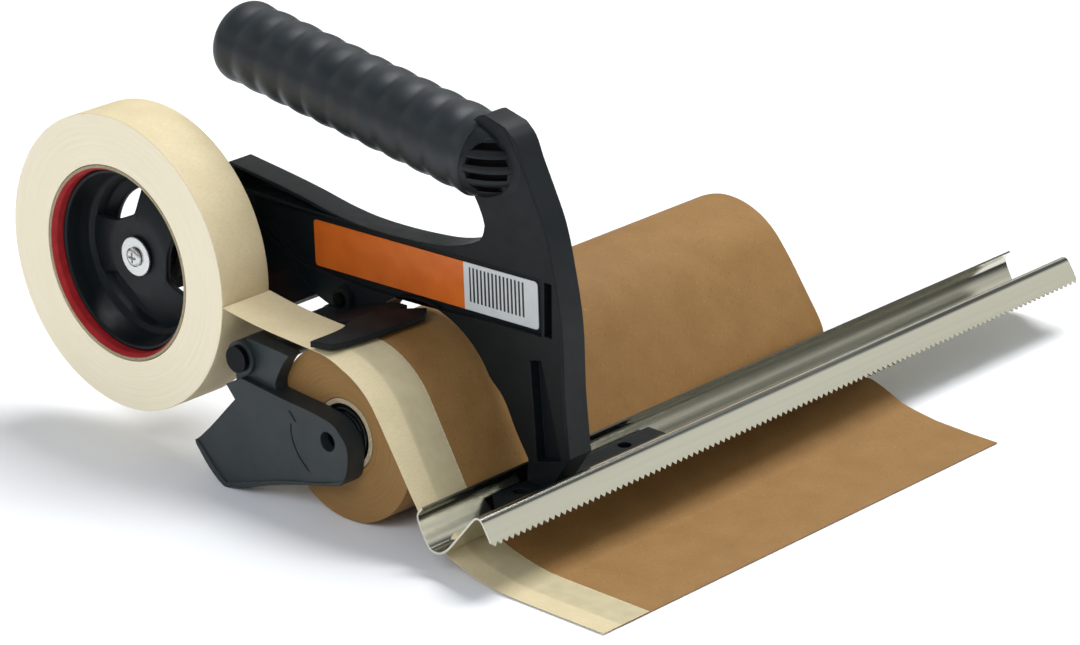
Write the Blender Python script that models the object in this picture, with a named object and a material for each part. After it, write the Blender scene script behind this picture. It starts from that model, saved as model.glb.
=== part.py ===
"""A hand-held dispenser that sticks masking tape along the edge of masking paper and tears it off.

X is the feed direction, from the tape roll at the rear to the toothed blade at the front. Y runs along the two
rolls, from the operator's near side to the far side. Z is up, and the surface that the dispenser stands on is z = 0.
The pieces are laid out from a datum under the near end of the paper roll's axis. The datum is placed so that the
whole object's box is centred on the world's Z axis.
"""

import math

import bmesh
import bpy
from mathutils import Matrix

# Fits
FIT = 0.0003
RUNNING_FIT = 0.0004
OVERRUN = 0.002
MERGE_DISTANCE = 0.000002

# Paper roll on its cardboard tube
PAPER_RADIUS = 0.03595
PAPER_WIDTH = 0.2286
PAPER_CORE_RADIUS = 0.01465
PAPER_CORE_BORE = 0.0127

# Tape roll on its cardboard ring
TAPE_RADIUS = 0.0616
TAPE_WIDTH = 0.0254
TAPE_CORE_RADIUS = 0.0406
TAPE_CORE_BORE = 0.0381
TAPE_OVERHANG = 0.010
TAPE_AXLE_X = -0.1182
TAPE_AXLE_Z = 0.0797

# Paper web and tape strip
WEB_THICKNESS = 0.0005
STRIP_THICKNESS = 0.0004
WEB_DIVE = 0.047
WEB_FLAT_RUN = 0.039
WEB_LANDING_X = 0.100
WEB_END_X = 0.1435
STRIP_PEEL_DROP = 0.0030
STRIP_BEND_X = -0.030
STRIP_BEND_Z = 0.0734
WEB_START_ANGLE = math.radians(115)
WEB_LEAVE_ANGLE = math.radians(23)
TOP_ANGLE = math.radians(90)

# Blade: a folded sheet, a trough under the foot and a toothed flange in front of it
BLADE_THICKNESS = 0.0008
BLADE_NEAR_Y = -0.015
BLADE_LENGTH = 0.367
TROUGH_X = 0.0530
TROUGH_BOTTOM = 0.0096
TROUGH_WIDTH = 0.0308
TROUGH_DEPTH = 0.0207
FLANGE_REACH = 0.0082
FLANGE_DROP = 0.0092
TOOTH_PITCH = 0.0032
TOOTH_DEPTH = 0.0016

# Outline of the folded sheet's under side, from the lip to the crest, as shares of the trough's width and depth
TROUGH_SHARES = (
    (0.085, 0.822), (0.004, 0.682), (0.0, 0.58), (0.032, 0.454), (0.143, 0.154),
    (0.227, 0.01), (0.383, 0.0), (0.526, 0.145), (1.0, 1.0),
)

# Frame: one moulding, FRAME_THICKNESS wide, with its near face on FRAME_NEAR_Y
FRAME_NEAR_Y = 0.042
FRAME_THICKNESS = 0.012
FRAME_REAR_X = -0.106
FRAME_LENGTH = 0.1855
FRAME_HEIGHT = 0.164
THROAT_CLEARANCE = 0.00745
THROAT_START = math.radians(30)
THROAT_END = math.radians(105)
AXLE_BOSS_RADIUS = 0.018
AXLE_BOSS_NEAR_Y = 0.017
LOBE_RADIUS = 0.0075
LOBE_BACK = math.radians(105)
PANEL_DEPTH = 0.003
REAR_RECESS_DEPTH = 0.008
SLOT_DEPTH = 0.008
POST_RECESS_DEPTH = 0.005
FAR_POCKET_DEPTH = 0.0045
FOOT_REAR_X = 0.0575
FOOT_TOP = 0.020
FOOT_NEAR_Y = 0.022
FOOT_LENGTH = 0.090
POST_ROOT_DEPTH = 0.005
POST_ROOT_MARGIN = 0.0015
BRACE_THICKNESS = 0.003

# Edges of the frame, as shares of its length from the rear end of the arm and of its height from the floor
ARM_TOP_SHARES = (
    (0.0, 0.683), (0.129, 0.667), (0.228, 0.652), (0.307, 0.637), (0.383, 0.628), (0.464, 0.627),
    (0.571, 0.634), (0.652, 0.646), (0.722, 0.671), (0.751, 0.688),
)
HAND_EDGE_SHARES = ((0.76, 0.704), (0.765, 0.728), (0.758, 0.752), (0.739, 0.791), (0.717, 0.823), (0.717, 0.963))
POST_TOP_SHARES = ((0.753, 0.994), (0.768, 1.0), (0.826, 0.984), (0.852, 0.957))
POST_FRONT_SHARES = (
    (0.873, 0.906), (0.905, 0.835), (0.934, 0.765), (0.961, 0.649), (0.98, 0.531), (0.987, 0.359), (1.0, 0.212),
)
THROAT_SHARES = ((0.88, 0.122), (0.882, 0.176), (0.85, 0.232), (0.811, 0.312))
LOBE_FRONT_SHARES = ((0.491, 0.465), (0.468, 0.447), (0.45, 0.419))
BRACE_SHARES = ((0.259, 0.409), (0.213, 0.446), (0.197, 0.471), (0.102, 0.532))
PANEL_SHARES = (
    (0.075, 0.613), (0.922, 0.638), (0.922, 0.496), (0.237, 0.476), (0.202, 0.485), (0.113, 0.546), (0.075, 0.555),
)
REAR_RECESS_SHARES = (
    (0.016, 0.627), (0.016, 0.674), (0.129, 0.657), (0.228, 0.642), (0.29, 0.632), (0.345, 0.628), (0.26, 0.625),
)
SLOT_SHARES = ((0.93, 0.5), (0.951, 0.5), (0.951, 0.634), (0.93, 0.634))
POST_RECESS_SHARES = ((0.889, 0.427), (0.92, 0.436), (0.974, 0.198), (0.907, 0.176))
FAR_ARM_POCKET_SHARES = ((0.24, 0.49), (0.24, 0.605), (0.47, 0.595), (0.47, 0.495))
FAR_MID_POCKET_SHARES = ((0.49, 0.497), (0.49, 0.595), (0.68, 0.61), (0.68, 0.505))
FAR_FRONT_POCKET_SHARES = ((0.7, 0.507), (0.7, 0.61), (0.89, 0.65), (0.92, 0.52))
FAR_POST_POCKET_SHARES = ((0.84, 0.37), (0.86, 0.48), (0.93, 0.48), (0.945, 0.37))

# Grip along a line that climbs toward the rear
GRIP_ROOT_X = 0.028
GRIP_ROOT_Z = 0.1456
GRIP_TILT = math.radians(7.7)
GRIP_ROOT_RADIUS = 0.016
GRIP_ROOT_FRONT = 0.008
GRIP_ROOT_REAR = 0.016
GRIP_ROOT_ROUND = 0.004
GRIP_CORE_RADIUS = 0.009
GRIP_CORE_END = 0.127
SLEEVE_END = 0.1365
SLEEVE_RADIUS = 0.0167
SLEEVE_WAVE = 0.00065
SLEEVE_WAVES = 8.5
SLEEVE_ROUND = 0.009
SLEEVE_ROUND_POWER = 0.7
VENT_BOSS_X = 0.0435
VENT_BOSS_Z = 0.1448
VENT_BOSS_RADIUS = 0.0114
VENT_BOSS_HEIGHT = 0.0085
VENT_HEIGHT = 0.0026
VENT_DEPTH = 0.0045
VENT_HEIGHT_SHARES = (0.76, 0.29, -0.20, -0.64)

# Label in the frame's panel
LABEL_LENGTH = 0.1215
LABEL_HEIGHT = 0.0194
LABEL_THICKNESS = 0.0004
LABEL_X = 0.0006
LABEL_Z = 0.0902
LABEL_TURN = math.radians(-1.9)
LABEL_CORNER = 0.0015

# Tape hub and its axle
HUB_RIM_RECESS = 0.005
HUB_BACK_Y = 0.0154
HUB_WALL = 0.0018
HUB_STEP_SHARES = ((1.0, 0.0), (0.98, 0.28), (0.90, 0.32), (0.89, 0.72), (0.81, 0.78))
HUB_WEB_Y = 0.002
HUB_WEB_THICKNESS = 0.0025
HUB_DISC_RADIUS = 0.0170
HUB_SLEEVE_RADIUS = 0.0085
HUB_OPENING_RADIUS = 0.0306
HUB_OPENINGS = 3
HUB_OPENING_START = math.radians(90)
HUB_OPENING_SPAN = math.radians(75)
HUB_OPENING_SWIRL = math.radians(7)
AXLE_RADIUS = 0.004
TAPE_WASHER_RADIUS = 0.00825
TAPE_WASHER_THICKNESS = 0.0013
TAPE_SCREW_HEAD_RADIUS = 0.004
TAPE_SCREW_HEAD = 0.0015
TAPE_SCREW_RADIUS = 0.002
TAPE_SCREW_LENGTH = 0.012
CROSS_WIDTH = 0.0009
CROSS_SPAN = 0.0046
CROSS_DEPTH = 0.0009
DRAG_RING_RADIUS = 0.014
NUT_RADIUS = 0.0072
NUT_THICKNESS = 0.0045
NUT_SIDES = 6

# Swing arm and its pivot
PIVOT_X = -0.0485
PIVOT_Z = 0.0575
BARREL_RADIUS = 0.0070
BARREL_NEAR_Y = -0.009
SWING_NEAR_Y = -0.0102
SWING_THICKNESS = 0.0099
SWING_LENGTH = 0.0863
SWING_HEIGHT = 0.0494
SWING_HOLE_RADIUS = 0.004
SWING_RIM_HEIGHT = 0.0006
SWING_BRIDGE_NEAR = 0.0035
SWING_BRIDGE_LENGTH = 0.012
SWING_BRIDGE_HALF_WIDTH = 0.0055
SWING_GUSSET_LOW = 0.044
PIN_RADIUS = 0.0028
PIN_HEAD_RADIUS = 0.0055
PIN_HEAD = 0.0022
PIVOT_WASHER_RADIUS = 0.0068
PIVOT_WASHER_THICKNESS = 0.0012

# Edge of the swing arm's plate, as shares of its length from the paper roll's axis and of its height from the floor
SWING_SHARES = (
    (-0.655, 0.903), (-0.553, 1.0), (-0.293, 0.955), (-0.02, 0.912), (0.04, 0.882), (0.081, 0.822), (0.112, 0.76),
    (0.124, 0.69), (0.124, 0.61), (0.117, 0.536), (0.104, 0.45), (0.075, 0.391), (-0.299, 0.211), (-0.66, 0.004),
    (-0.687, 0.0), (-0.72, 0.03), (-0.782, 0.115), (-0.868, 0.285), (-0.872, 0.315), (-0.837, 0.364), (-0.599, 0.796),
)
SWING_FACE_SHARES = (
    (-0.655, 0.94), (-0.553, 1.05), (-0.293, 1.0), (0.007, 0.96), (0.12, 0.86), (0.15, 0.69), (0.14, 0.50),
    (0.068, 0.424), (-0.299, 0.248), (-0.668, 0.041), (-0.70, 0.07), (-0.80, 0.23), (-0.845, 0.30), (-0.90, 0.36),
    (-0.66, 0.84),
)

# Edge of the wall beside the paper roll, as shares of the distance between the two axes and of the plate's height
SWING_GUSSET_SHARES = (
    (0.64, 0.0), (0.645, 0.14), (0.60, 0.24), (0.54, 0.34), (0.48, 0.41), (0.55, 0.42), (0.97, 0.44), (1.11, 0.0),
)

# Spindle in the paper core
SPINDLE_LENGTH = 0.190
SPINDLE_RIB_HEIGHT = 0.0012
SPINDLE_RIBS = 10
SPINDLE_RIB_SHARE = 0.35
SPINDLE_TAPPING = 0.008
SPINDLE_SCREW_RADIUS = 0.0018
SPINDLE_SCREW_HEAD_RADIUS = 0.0035
SPINDLE_SCREW_HEAD = 0.0022
SPINDLE_SCREW_SINK = 0.0045
SPINDLE_SCREW_LENGTH = 0.0085

# Guide: a wing over the tape, a neck and a tab on the frame's lobe
GUIDE_BOTTOM = 0.0740
GUIDE_THICKNESS = 0.0024
GUIDE_LENGTH = 0.055
GUIDE_WIDTH = 0.0179
GUIDE_NEAR_Y = -0.011
GUIDE_REAR_X = -0.0109
GUIDE_SHARES = (
    (0.25, 0.0), (0.70, 0.055), (0.80, 0.136), (1.0, 0.89), (0.74, 1.0), (0.0, 0.747), (0.0, 0.49), (0.21, 0.324),
)
NECK_NEAR_Y = 0.0172
NECK_REAR_X = -0.0425
NECK_REAR_Z = 0.0652
NECK_FRONT_X = -0.0060
TAB_X = -0.0406
TAB_Z = 0.0703
TAB_RADIUS = 0.0048
TAB_THICKNESS = 0.003
GUIDE_SCREW_RADIUS = 0.0014
GUIDE_SCREW_HEAD_RADIUS = 0.0028
GUIDE_SCREW_HEAD = 0.0014
GUIDE_SCREW_LENGTH = 0.008

# Screws that hold the blade under the foot
BLADE_SCREW_X = 0.0626
BLADE_SCREW_NEAR_Y = 0.032
BLADE_SCREW_FAR_Y = 0.092
BLADE_SCREW_RADIUS = 0.0015
BLADE_SCREW_HEAD_RADIUS = 0.0026
BLADE_SCREW_HEAD = 0.0018
BLADE_SCREW_SINK = 0.0030

# Counts of sides and steps
ROLL_SIDES = 48
SHAFT_SIDES = 20
SLEEVE_SIDES = 24
STEPS_PER_WAVE = 4
ARC_STEPS = 10
CURVE_STEPS = 12
SMOOTH_ANGLE = math.radians(32)
FULL_TURN = 2 * math.pi

# Values that follow from the sizes above
TAPE_NEAR_Y = -TAPE_OVERHANG
TAPE_FAR_Y = TAPE_NEAR_Y + TAPE_WIDTH
FRAME_FAR_Y = FRAME_NEAR_Y + FRAME_THICKNESS
GRIP_Y = FRAME_NEAR_Y + FRAME_THICKNESS / 2
SWING_FAR_Y = SWING_NEAR_Y + SWING_THICKNESS
PAPER_AXIS = (0.0, PAPER_RADIUS)
TAPE_AXIS = (TAPE_AXLE_X, TAPE_AXLE_Z)
PIVOT_AXIS = (PIVOT_X, PIVOT_Z)
CENTRE_X = (TAPE_AXLE_X - TAPE_RADIUS + WEB_END_X) / 2
CENTRE_Y = BLADE_NEAR_Y + BLADE_LENGTH / 2


def clear_scene():
    """Removes whatever the scene holds."""
    for old in list(bpy.data.objects):
        bpy.data.objects.remove(old, do_unlink=True)


def linear(code):
    """The linear colour of a hex code that is written as a screen shows it."""
    parts = [int(code[place : place + 2], 16) / 255 for place in (1, 3, 5)]
    return [part / 12.92 if part <= 0.04045 else ((part + 0.055) / 1.055) ** 2.4 for part in parts] + [1.0]


def make_material(name, code, roughness, metallic=0.0):
    """A plain material with a colour, a roughness and a metallic value."""
    material = bpy.data.materials.new(name)
    material.use_nodes = True
    shader = material.node_tree.nodes["Principled BSDF"]
    shader.inputs["Base Color"].default_value = linear(code)
    shader.inputs["Roughness"].default_value = roughness
    shader.inputs["Metallic"].default_value = metallic
    return material


def add_line(name, x, y, z, parent=None):
    """An empty that carries the pieces on one axis."""
    line = bpy.data.objects.new(name, None)
    bpy.context.scene.collection.objects.link(line)
    line.parent = parent
    line.location = (x, y, z)
    return line


def add_piece(name, mesh, line, material):
    """An object with this mesh and material, at the origin of the empty that carries it."""
    data = bpy.data.meshes.new(name)
    mesh.to_mesh(data)
    mesh.free()
    if material:
        data.materials.append(material)
    data.shade_smooth()
    data.set_sharp_from_angle(angle=SMOOTH_ANGLE)
    piece = bpy.data.objects.new(name, data)
    bpy.context.scene.collection.objects.link(piece)
    piece.parent = line
    return piece


def reshape(piece, operation, word, mesh, line=None):
    """Joins a mesh to a piece, or cuts it out of the piece, by a Boolean whose tool stays hidden."""
    tool = add_piece(f"{piece.name}_{word}", mesh, line or piece.parent, None)
    tool.hide_render = True
    tool.display_type = "WIRE"
    change = piece.modifiers.new(word, "BOOLEAN")
    change.operation = operation
    change.solver = "EXACT"
    change.object = tool


def join(piece, word, mesh, line=None):
    reshape(piece, "UNION", word, mesh, line)


def cut(piece, word, mesh, line=None):
    reshape(piece, "DIFFERENCE", word, mesh, line)


def prism(outline, start, end):
    """A block: an (x, z) outline pushed along Y from start to end."""
    mesh = bmesh.new()
    corners = [mesh.verts.new((x, start, z)) for x, z in outline]
    pushed = bmesh.ops.extrude_face_region(mesh, geom=[mesh.faces.new(corners)])
    moved = [item for item in pushed["geom"] if isinstance(item, bmesh.types.BMVert)]
    bmesh.ops.translate(mesh, verts=moved, vec=(0, end - start, 0))
    bmesh.ops.recalc_face_normals(mesh, faces=mesh.faces)
    return mesh


def slab(outline, bottom, top):
    """A block: an (x, y) outline pushed up along Z from bottom to top."""
    mesh = bmesh.new()
    corners = [mesh.verts.new((x, y, bottom)) for x, y in outline]
    pushed = bmesh.ops.extrude_face_region(mesh, geom=[mesh.faces.new(corners)])
    moved = [item for item in pushed["geom"] if isinstance(item, bmesh.types.BMVert)]
    bmesh.ops.translate(mesh, verts=moved, vec=(0, 0, top - bottom))
    bmesh.ops.recalc_face_normals(mesh, faces=mesh.faces)
    return mesh


def turned(profile, sides, closed=False):
    """A turned shape about Y: a (radius, y) profile swept once round. An open profile starts and ends on the axis."""
    mesh = bmesh.new()
    corners = [mesh.verts.new((radius, along, 0)) for radius, along in profile]
    ends = corners[1:] + corners[:1] if closed else corners[1:]
    edges = [mesh.edges.new(pair) for pair in zip(corners, ends)]
    bmesh.ops.spin(
        mesh, geom=corners + edges, cent=(0, 0, 0), axis=(0, 1, 0), angle=FULL_TURN, steps=sides, use_merge=True
    )
    bmesh.ops.remove_doubles(mesh, verts=mesh.verts, dist=MERGE_DISTANCE)
    bmesh.ops.recalc_face_normals(mesh, faces=mesh.faces)
    return mesh


def rod(radius, start, end, sides=SHAFT_SIDES):
    """A solid cylinder about Y."""
    return turned([(0, start), (radius, start), (radius, end), (0, end)], sides)


def ring(inner, outer, start, end, sides=ROLL_SIDES):
    """A cylinder about Y with a round hole through it."""
    return turned([(inner, start), (outer, start), (outer, end), (inner, end)], sides, closed=True)


def moved(mesh, x=0.0, y=0.0, z=0.0):
    """The same mesh, shifted."""
    bmesh.ops.translate(mesh, verts=mesh.verts, vec=(x, y, z))
    return mesh


def upright(mesh):
    """A shape turned about Y, stood up so that its +Y end points up."""
    bmesh.ops.rotate(mesh, verts=mesh.verts, cent=(0, 0, 0), matrix=Matrix.Rotation(math.radians(90), 3, "X"))
    return mesh


def polar(centre, radius, angle):
    """The point at an angle on a circle, counted from +X toward +Z."""
    return (centre[0] + radius * math.cos(angle), centre[1] + radius * math.sin(angle))


def arc(centre, radius, start, end, steps=ARC_STEPS):
    """Points on a circle from one angle to another, both ends included."""
    return [polar(centre, radius, start + (end - start) * step / steps) for step in range(steps + 1)]


def bezier(controls, steps=CURVE_STEPS):
    """Points on the smooth curve that a list of control points draws, both ends included."""
    points = []
    for step in range(steps + 1):
        share = step / steps
        rest = controls
        while len(rest) > 1:
            rest = [
                (a[0] + (b[0] - a[0]) * share, a[1] + (b[1] - a[1]) * share)
                for a, b in zip(rest, rest[1:])
            ]
        points.append(rest[0])
    return points


def offset_line(points, distance):
    """The line that runs beside an open line at a distance, on its left as one goes along it."""
    shifted = []
    for index, point in enumerate(points):
        before = points[max(index - 1, 0)]
        after = points[min(index + 1, len(points) - 1)]
        sides = []
        for start, end in ((before, point), (point, after)):
            length = math.dist(start, end)
            if length > 0:
                sides.append(((start[1] - end[1]) / length, (end[0] - start[0]) / length))
        normal = (sum(side[0] for side in sides), sum(side[1] for side in sides))
        size = math.hypot(*normal)
        reach = distance / (size / len(sides)) if len(sides) > 1 else distance
        shifted.append((point[0] + reach * normal[0] / size, point[1] + reach * normal[1] / size))
    return shifted


def sheet_outline(under, thickness):
    """The closed outline of a sheet whose under side follows a line."""
    return under + offset_line(under, thickness)[::-1]


def tangent_angle(centre, radius, point, side):
    """The angle at which a straight line from a point touches a circle, on the left (1) or right (-1) of the way in."""
    direction = math.atan2(point[1] - centre[1], point[0] - centre[0])
    return direction + side * math.acos(radius / math.dist(centre, point))


def frame_points(shares):
    """Points of the frame from shares of its length and height."""
    return [(FRAME_REAR_X + FRAME_LENGTH * along, FRAME_HEIGHT * up) for along, up in shares]


def swing_points(shares):
    """Points of the swing arm's plate from shares of its length and height."""
    return [(SWING_LENGTH * along, SWING_HEIGHT * up) for along, up in shares]


def trough_line():
    """The under side of the folded sheet, from the lip to the crest."""
    return [(TROUGH_X + TROUGH_WIDTH * along, TROUGH_BOTTOM + TROUGH_DEPTH * up) for along, up in TROUGH_SHARES]


def blade_line():
    """The under side of the whole blade: the trough, the narrow crest and the toothed flange."""
    crest = trough_line()[-1]
    shoulder = (crest[0] + 3 * BLADE_THICKNESS, crest[1])
    tip = (crest[0] + FLANGE_REACH, crest[1] - FLANGE_DROP)
    return trough_line() + [shoulder, tip]


def add_blade(line, metal):
    """A bright sheet folded to a trough and a flange, its lower edge cut to teeth."""
    blade = add_piece(
        "blade",
        prism(sheet_outline(blade_line(), BLADE_THICKNESS), BLADE_NEAR_Y, BLADE_NEAR_Y + BLADE_LENGTH),
        line,
        metal,
    )
    cut(blade, "teeth", tooth_cutter())
    for word, along in (("near_hole", BLADE_SCREW_NEAR_Y), ("far_hole", BLADE_SCREW_FAR_Y)):
        hole = upright(rod(BLADE_SCREW_RADIUS + FIT, -OVERRUN, BLADE_THICKNESS + OVERRUN))
        cut(blade, word, moved(hole, BLADE_SCREW_X, along, TROUGH_BOTTOM))


def tooth_cutter():
    """One zigzag solid under the flange: its peaks reach a tooth's depth up, its valleys end at the tooth tips."""
    shoulder, tip = blade_line()[-2:]
    length = math.dist(shoulder, tip)
    down = ((tip[0] - shoulder[0]) / length, (tip[1] - shoulder[1]) / length)
    side = (-down[1], down[0])
    count = round(BLADE_LENGTH / TOOTH_PITCH)
    pitch = BLADE_LENGTH / count
    edge = []
    for half in range(-1, 2 * count + 2):
        rise = -TOOTH_DEPTH if half % 2 else MERGE_DISTANCE
        edge.append((BLADE_NEAR_Y + pitch * half / 2, rise))
    edge.append((edge[-1][0], OVERRUN))
    edge.append((edge[0][0], OVERRUN))
    mesh = bmesh.new()
    corners = []
    for along, fall in edge:
        x = tip[0] + down[0] * fall - side[0] * OVERRUN
        z = tip[1] + down[1] * fall - side[1] * OVERRUN
        corners.append(mesh.verts.new((x, along, z)))
    pushed = bmesh.ops.extrude_face_region(mesh, geom=[mesh.faces.new(corners)])
    shifted = [item for item in pushed["geom"] if isinstance(item, bmesh.types.BMVert)]
    reach = BLADE_THICKNESS + 2 * OVERRUN
    bmesh.ops.translate(mesh, verts=shifted, vec=(side[0] * reach, 0, side[1] * reach))
    bmesh.ops.recalc_face_normals(mesh, faces=mesh.faces)
    return mesh


def web_front_line():
    """The under side of the paper from the top of its roll, down under the blade and out along the floor."""
    radius = PAPER_RADIUS + FIT
    wrapped = arc(PAPER_AXIS, radius, TOP_ANGLE, WEB_LEAVE_ANGLE)
    leave = wrapped[-1]
    dive = (
        leave[0] + WEB_DIVE * math.sin(WEB_LEAVE_ANGLE),
        leave[1] - WEB_DIVE * math.cos(WEB_LEAVE_ANGLE),
    )
    landing = (WEB_LANDING_X, 0.0)
    flat = (WEB_LANDING_X - WEB_FLAT_RUN, 0.0)
    return wrapped[:-1] + bezier([leave, dive, flat, landing]) + [(WEB_END_X, 0.0)]


def add_web(line, paper):
    """The paper that runs from the roll under the blade and lies in front of it."""
    start = arc(PAPER_AXIS, PAPER_RADIUS + FIT, WEB_START_ANGLE, TOP_ANGLE, CURVE_STEPS // 4)
    under = start[:-1] + web_front_line()
    add_piece("paper_web", prism(sheet_outline(under, WEB_THICKNESS), 0, PAPER_WIDTH), line, paper)


def add_strip(line, tape):
    """The tape between its roll and the paper, and on along the paper's near edge."""
    stuck = offset_line(web_front_line(), WEB_THICKNESS + FIT)
    peel_z = TAPE_AXLE_Z - STRIP_PEEL_DROP
    peel_x = TAPE_AXLE_X + math.sqrt(TAPE_RADIUS**2 - STRIP_PEEL_DROP**2) + FIT
    free = bezier([(peel_x, peel_z), (STRIP_BEND_X, STRIP_BEND_Z), stuck[0]], CURVE_STEPS // 2)
    outline = sheet_outline(free[:-1] + stuck, STRIP_THICKNESS)
    add_piece("tape_strip", prism(outline, TAPE_NEAR_Y, TAPE_FAR_Y), line, tape)


def frame_outline():
    """The frame's edge, all the way round: arm, hand opening, post, foot, throat, lobe, brace and axle boss."""
    top = frame_points(ARM_TOP_SHARES)
    throat = frame_points(THROAT_SHARES)
    lobe_front = frame_points(LOBE_FRONT_SHARES)
    brace = frame_points(BRACE_SHARES)
    root_z = FOOT_TOP - POST_ROOT_DEPTH
    root = [(throat[0][0] + POST_ROOT_MARGIN, root_z)]
    front = frame_points(POST_FRONT_SHARES)
    wall = offset_line(trough_line(), BLADE_THICKNESS + 2 * POST_ROOT_MARGIN)[-2:]
    slope = (wall[1][0] - wall[0][0]) / (wall[1][1] - wall[0][1])
    root_front = (wall[0][0] + slope * (root_z - wall[0][1]), root_z)
    throat_arc = arc(PAPER_AXIS, PAPER_RADIUS + THROAT_CLEARANCE, THROAT_START, THROAT_END)
    under = tangent_angle(PIVOT_AXIS, LOBE_RADIUS, lobe_front[-1], -1)
    lobe = arc(PIVOT_AXIS, LOBE_RADIUS, under, LOBE_BACK - FULL_TURN)
    boss_front = tangent_angle(TAPE_AXIS, AXLE_BOSS_RADIUS, brace[-1], -1)
    boss_rear = tangent_angle(TAPE_AXIS, AXLE_BOSS_RADIUS, top[0], 1) - FULL_TURN
    boss = arc(TAPE_AXIS, AXLE_BOSS_RADIUS, boss_front, boss_rear, 2 * ARC_STEPS)
    return (
        top + frame_points(HAND_EDGE_SHARES) + frame_points(POST_TOP_SHARES) + front + [root_front] + root
        + throat + throat_arc + lobe_front + lobe + brace + boss
    )


def foot_outline():
    """The foot's section: flat on top, and following the inside of the trough below."""
    inside = offset_line(trough_line(), BLADE_THICKNESS + FIT)
    wall_low, wall_high = inside[-2:]
    share = (FOOT_TOP - wall_low[1]) / (wall_high[1] - wall_low[1])
    wall_top = (wall_low[0] + (wall_high[0] - wall_low[0]) * share, FOOT_TOP)
    return [(FOOT_REAR_X, FOOT_TOP)] + inside[4:-1] + [wall_top]


def brace_outline():
    """The wall along the frame's lower rear edge, which stiffens the axle boss."""
    edge = frame_points(BRACE_SHARES)
    edge.append(polar(TAPE_AXIS, AXLE_BOSS_RADIUS - BRACE_THICKNESS, 0))
    return edge + offset_line(edge, BRACE_THICKNESS)[::-1]


def vent_cutters():
    """Four level slots, one above the other, across the round boss at the grip's root."""
    near = FRAME_NEAR_Y - VENT_BOSS_HEIGHT
    reach = VENT_BOSS_RADIUS + OVERRUN
    cutters = []
    for share in VENT_HEIGHT_SHARES:
        middle = VENT_BOSS_Z + VENT_BOSS_RADIUS * share
        low = middle - VENT_HEIGHT / 2
        high = middle + VENT_HEIGHT / 2
        outline = [
            (VENT_BOSS_X - reach, low), (VENT_BOSS_X + reach, low),
            (VENT_BOSS_X + reach, high), (VENT_BOSS_X - reach, high),
        ]
        cutters.append(prism(outline, near - OVERRUN, near + VENT_DEPTH))
    return cutters


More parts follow.
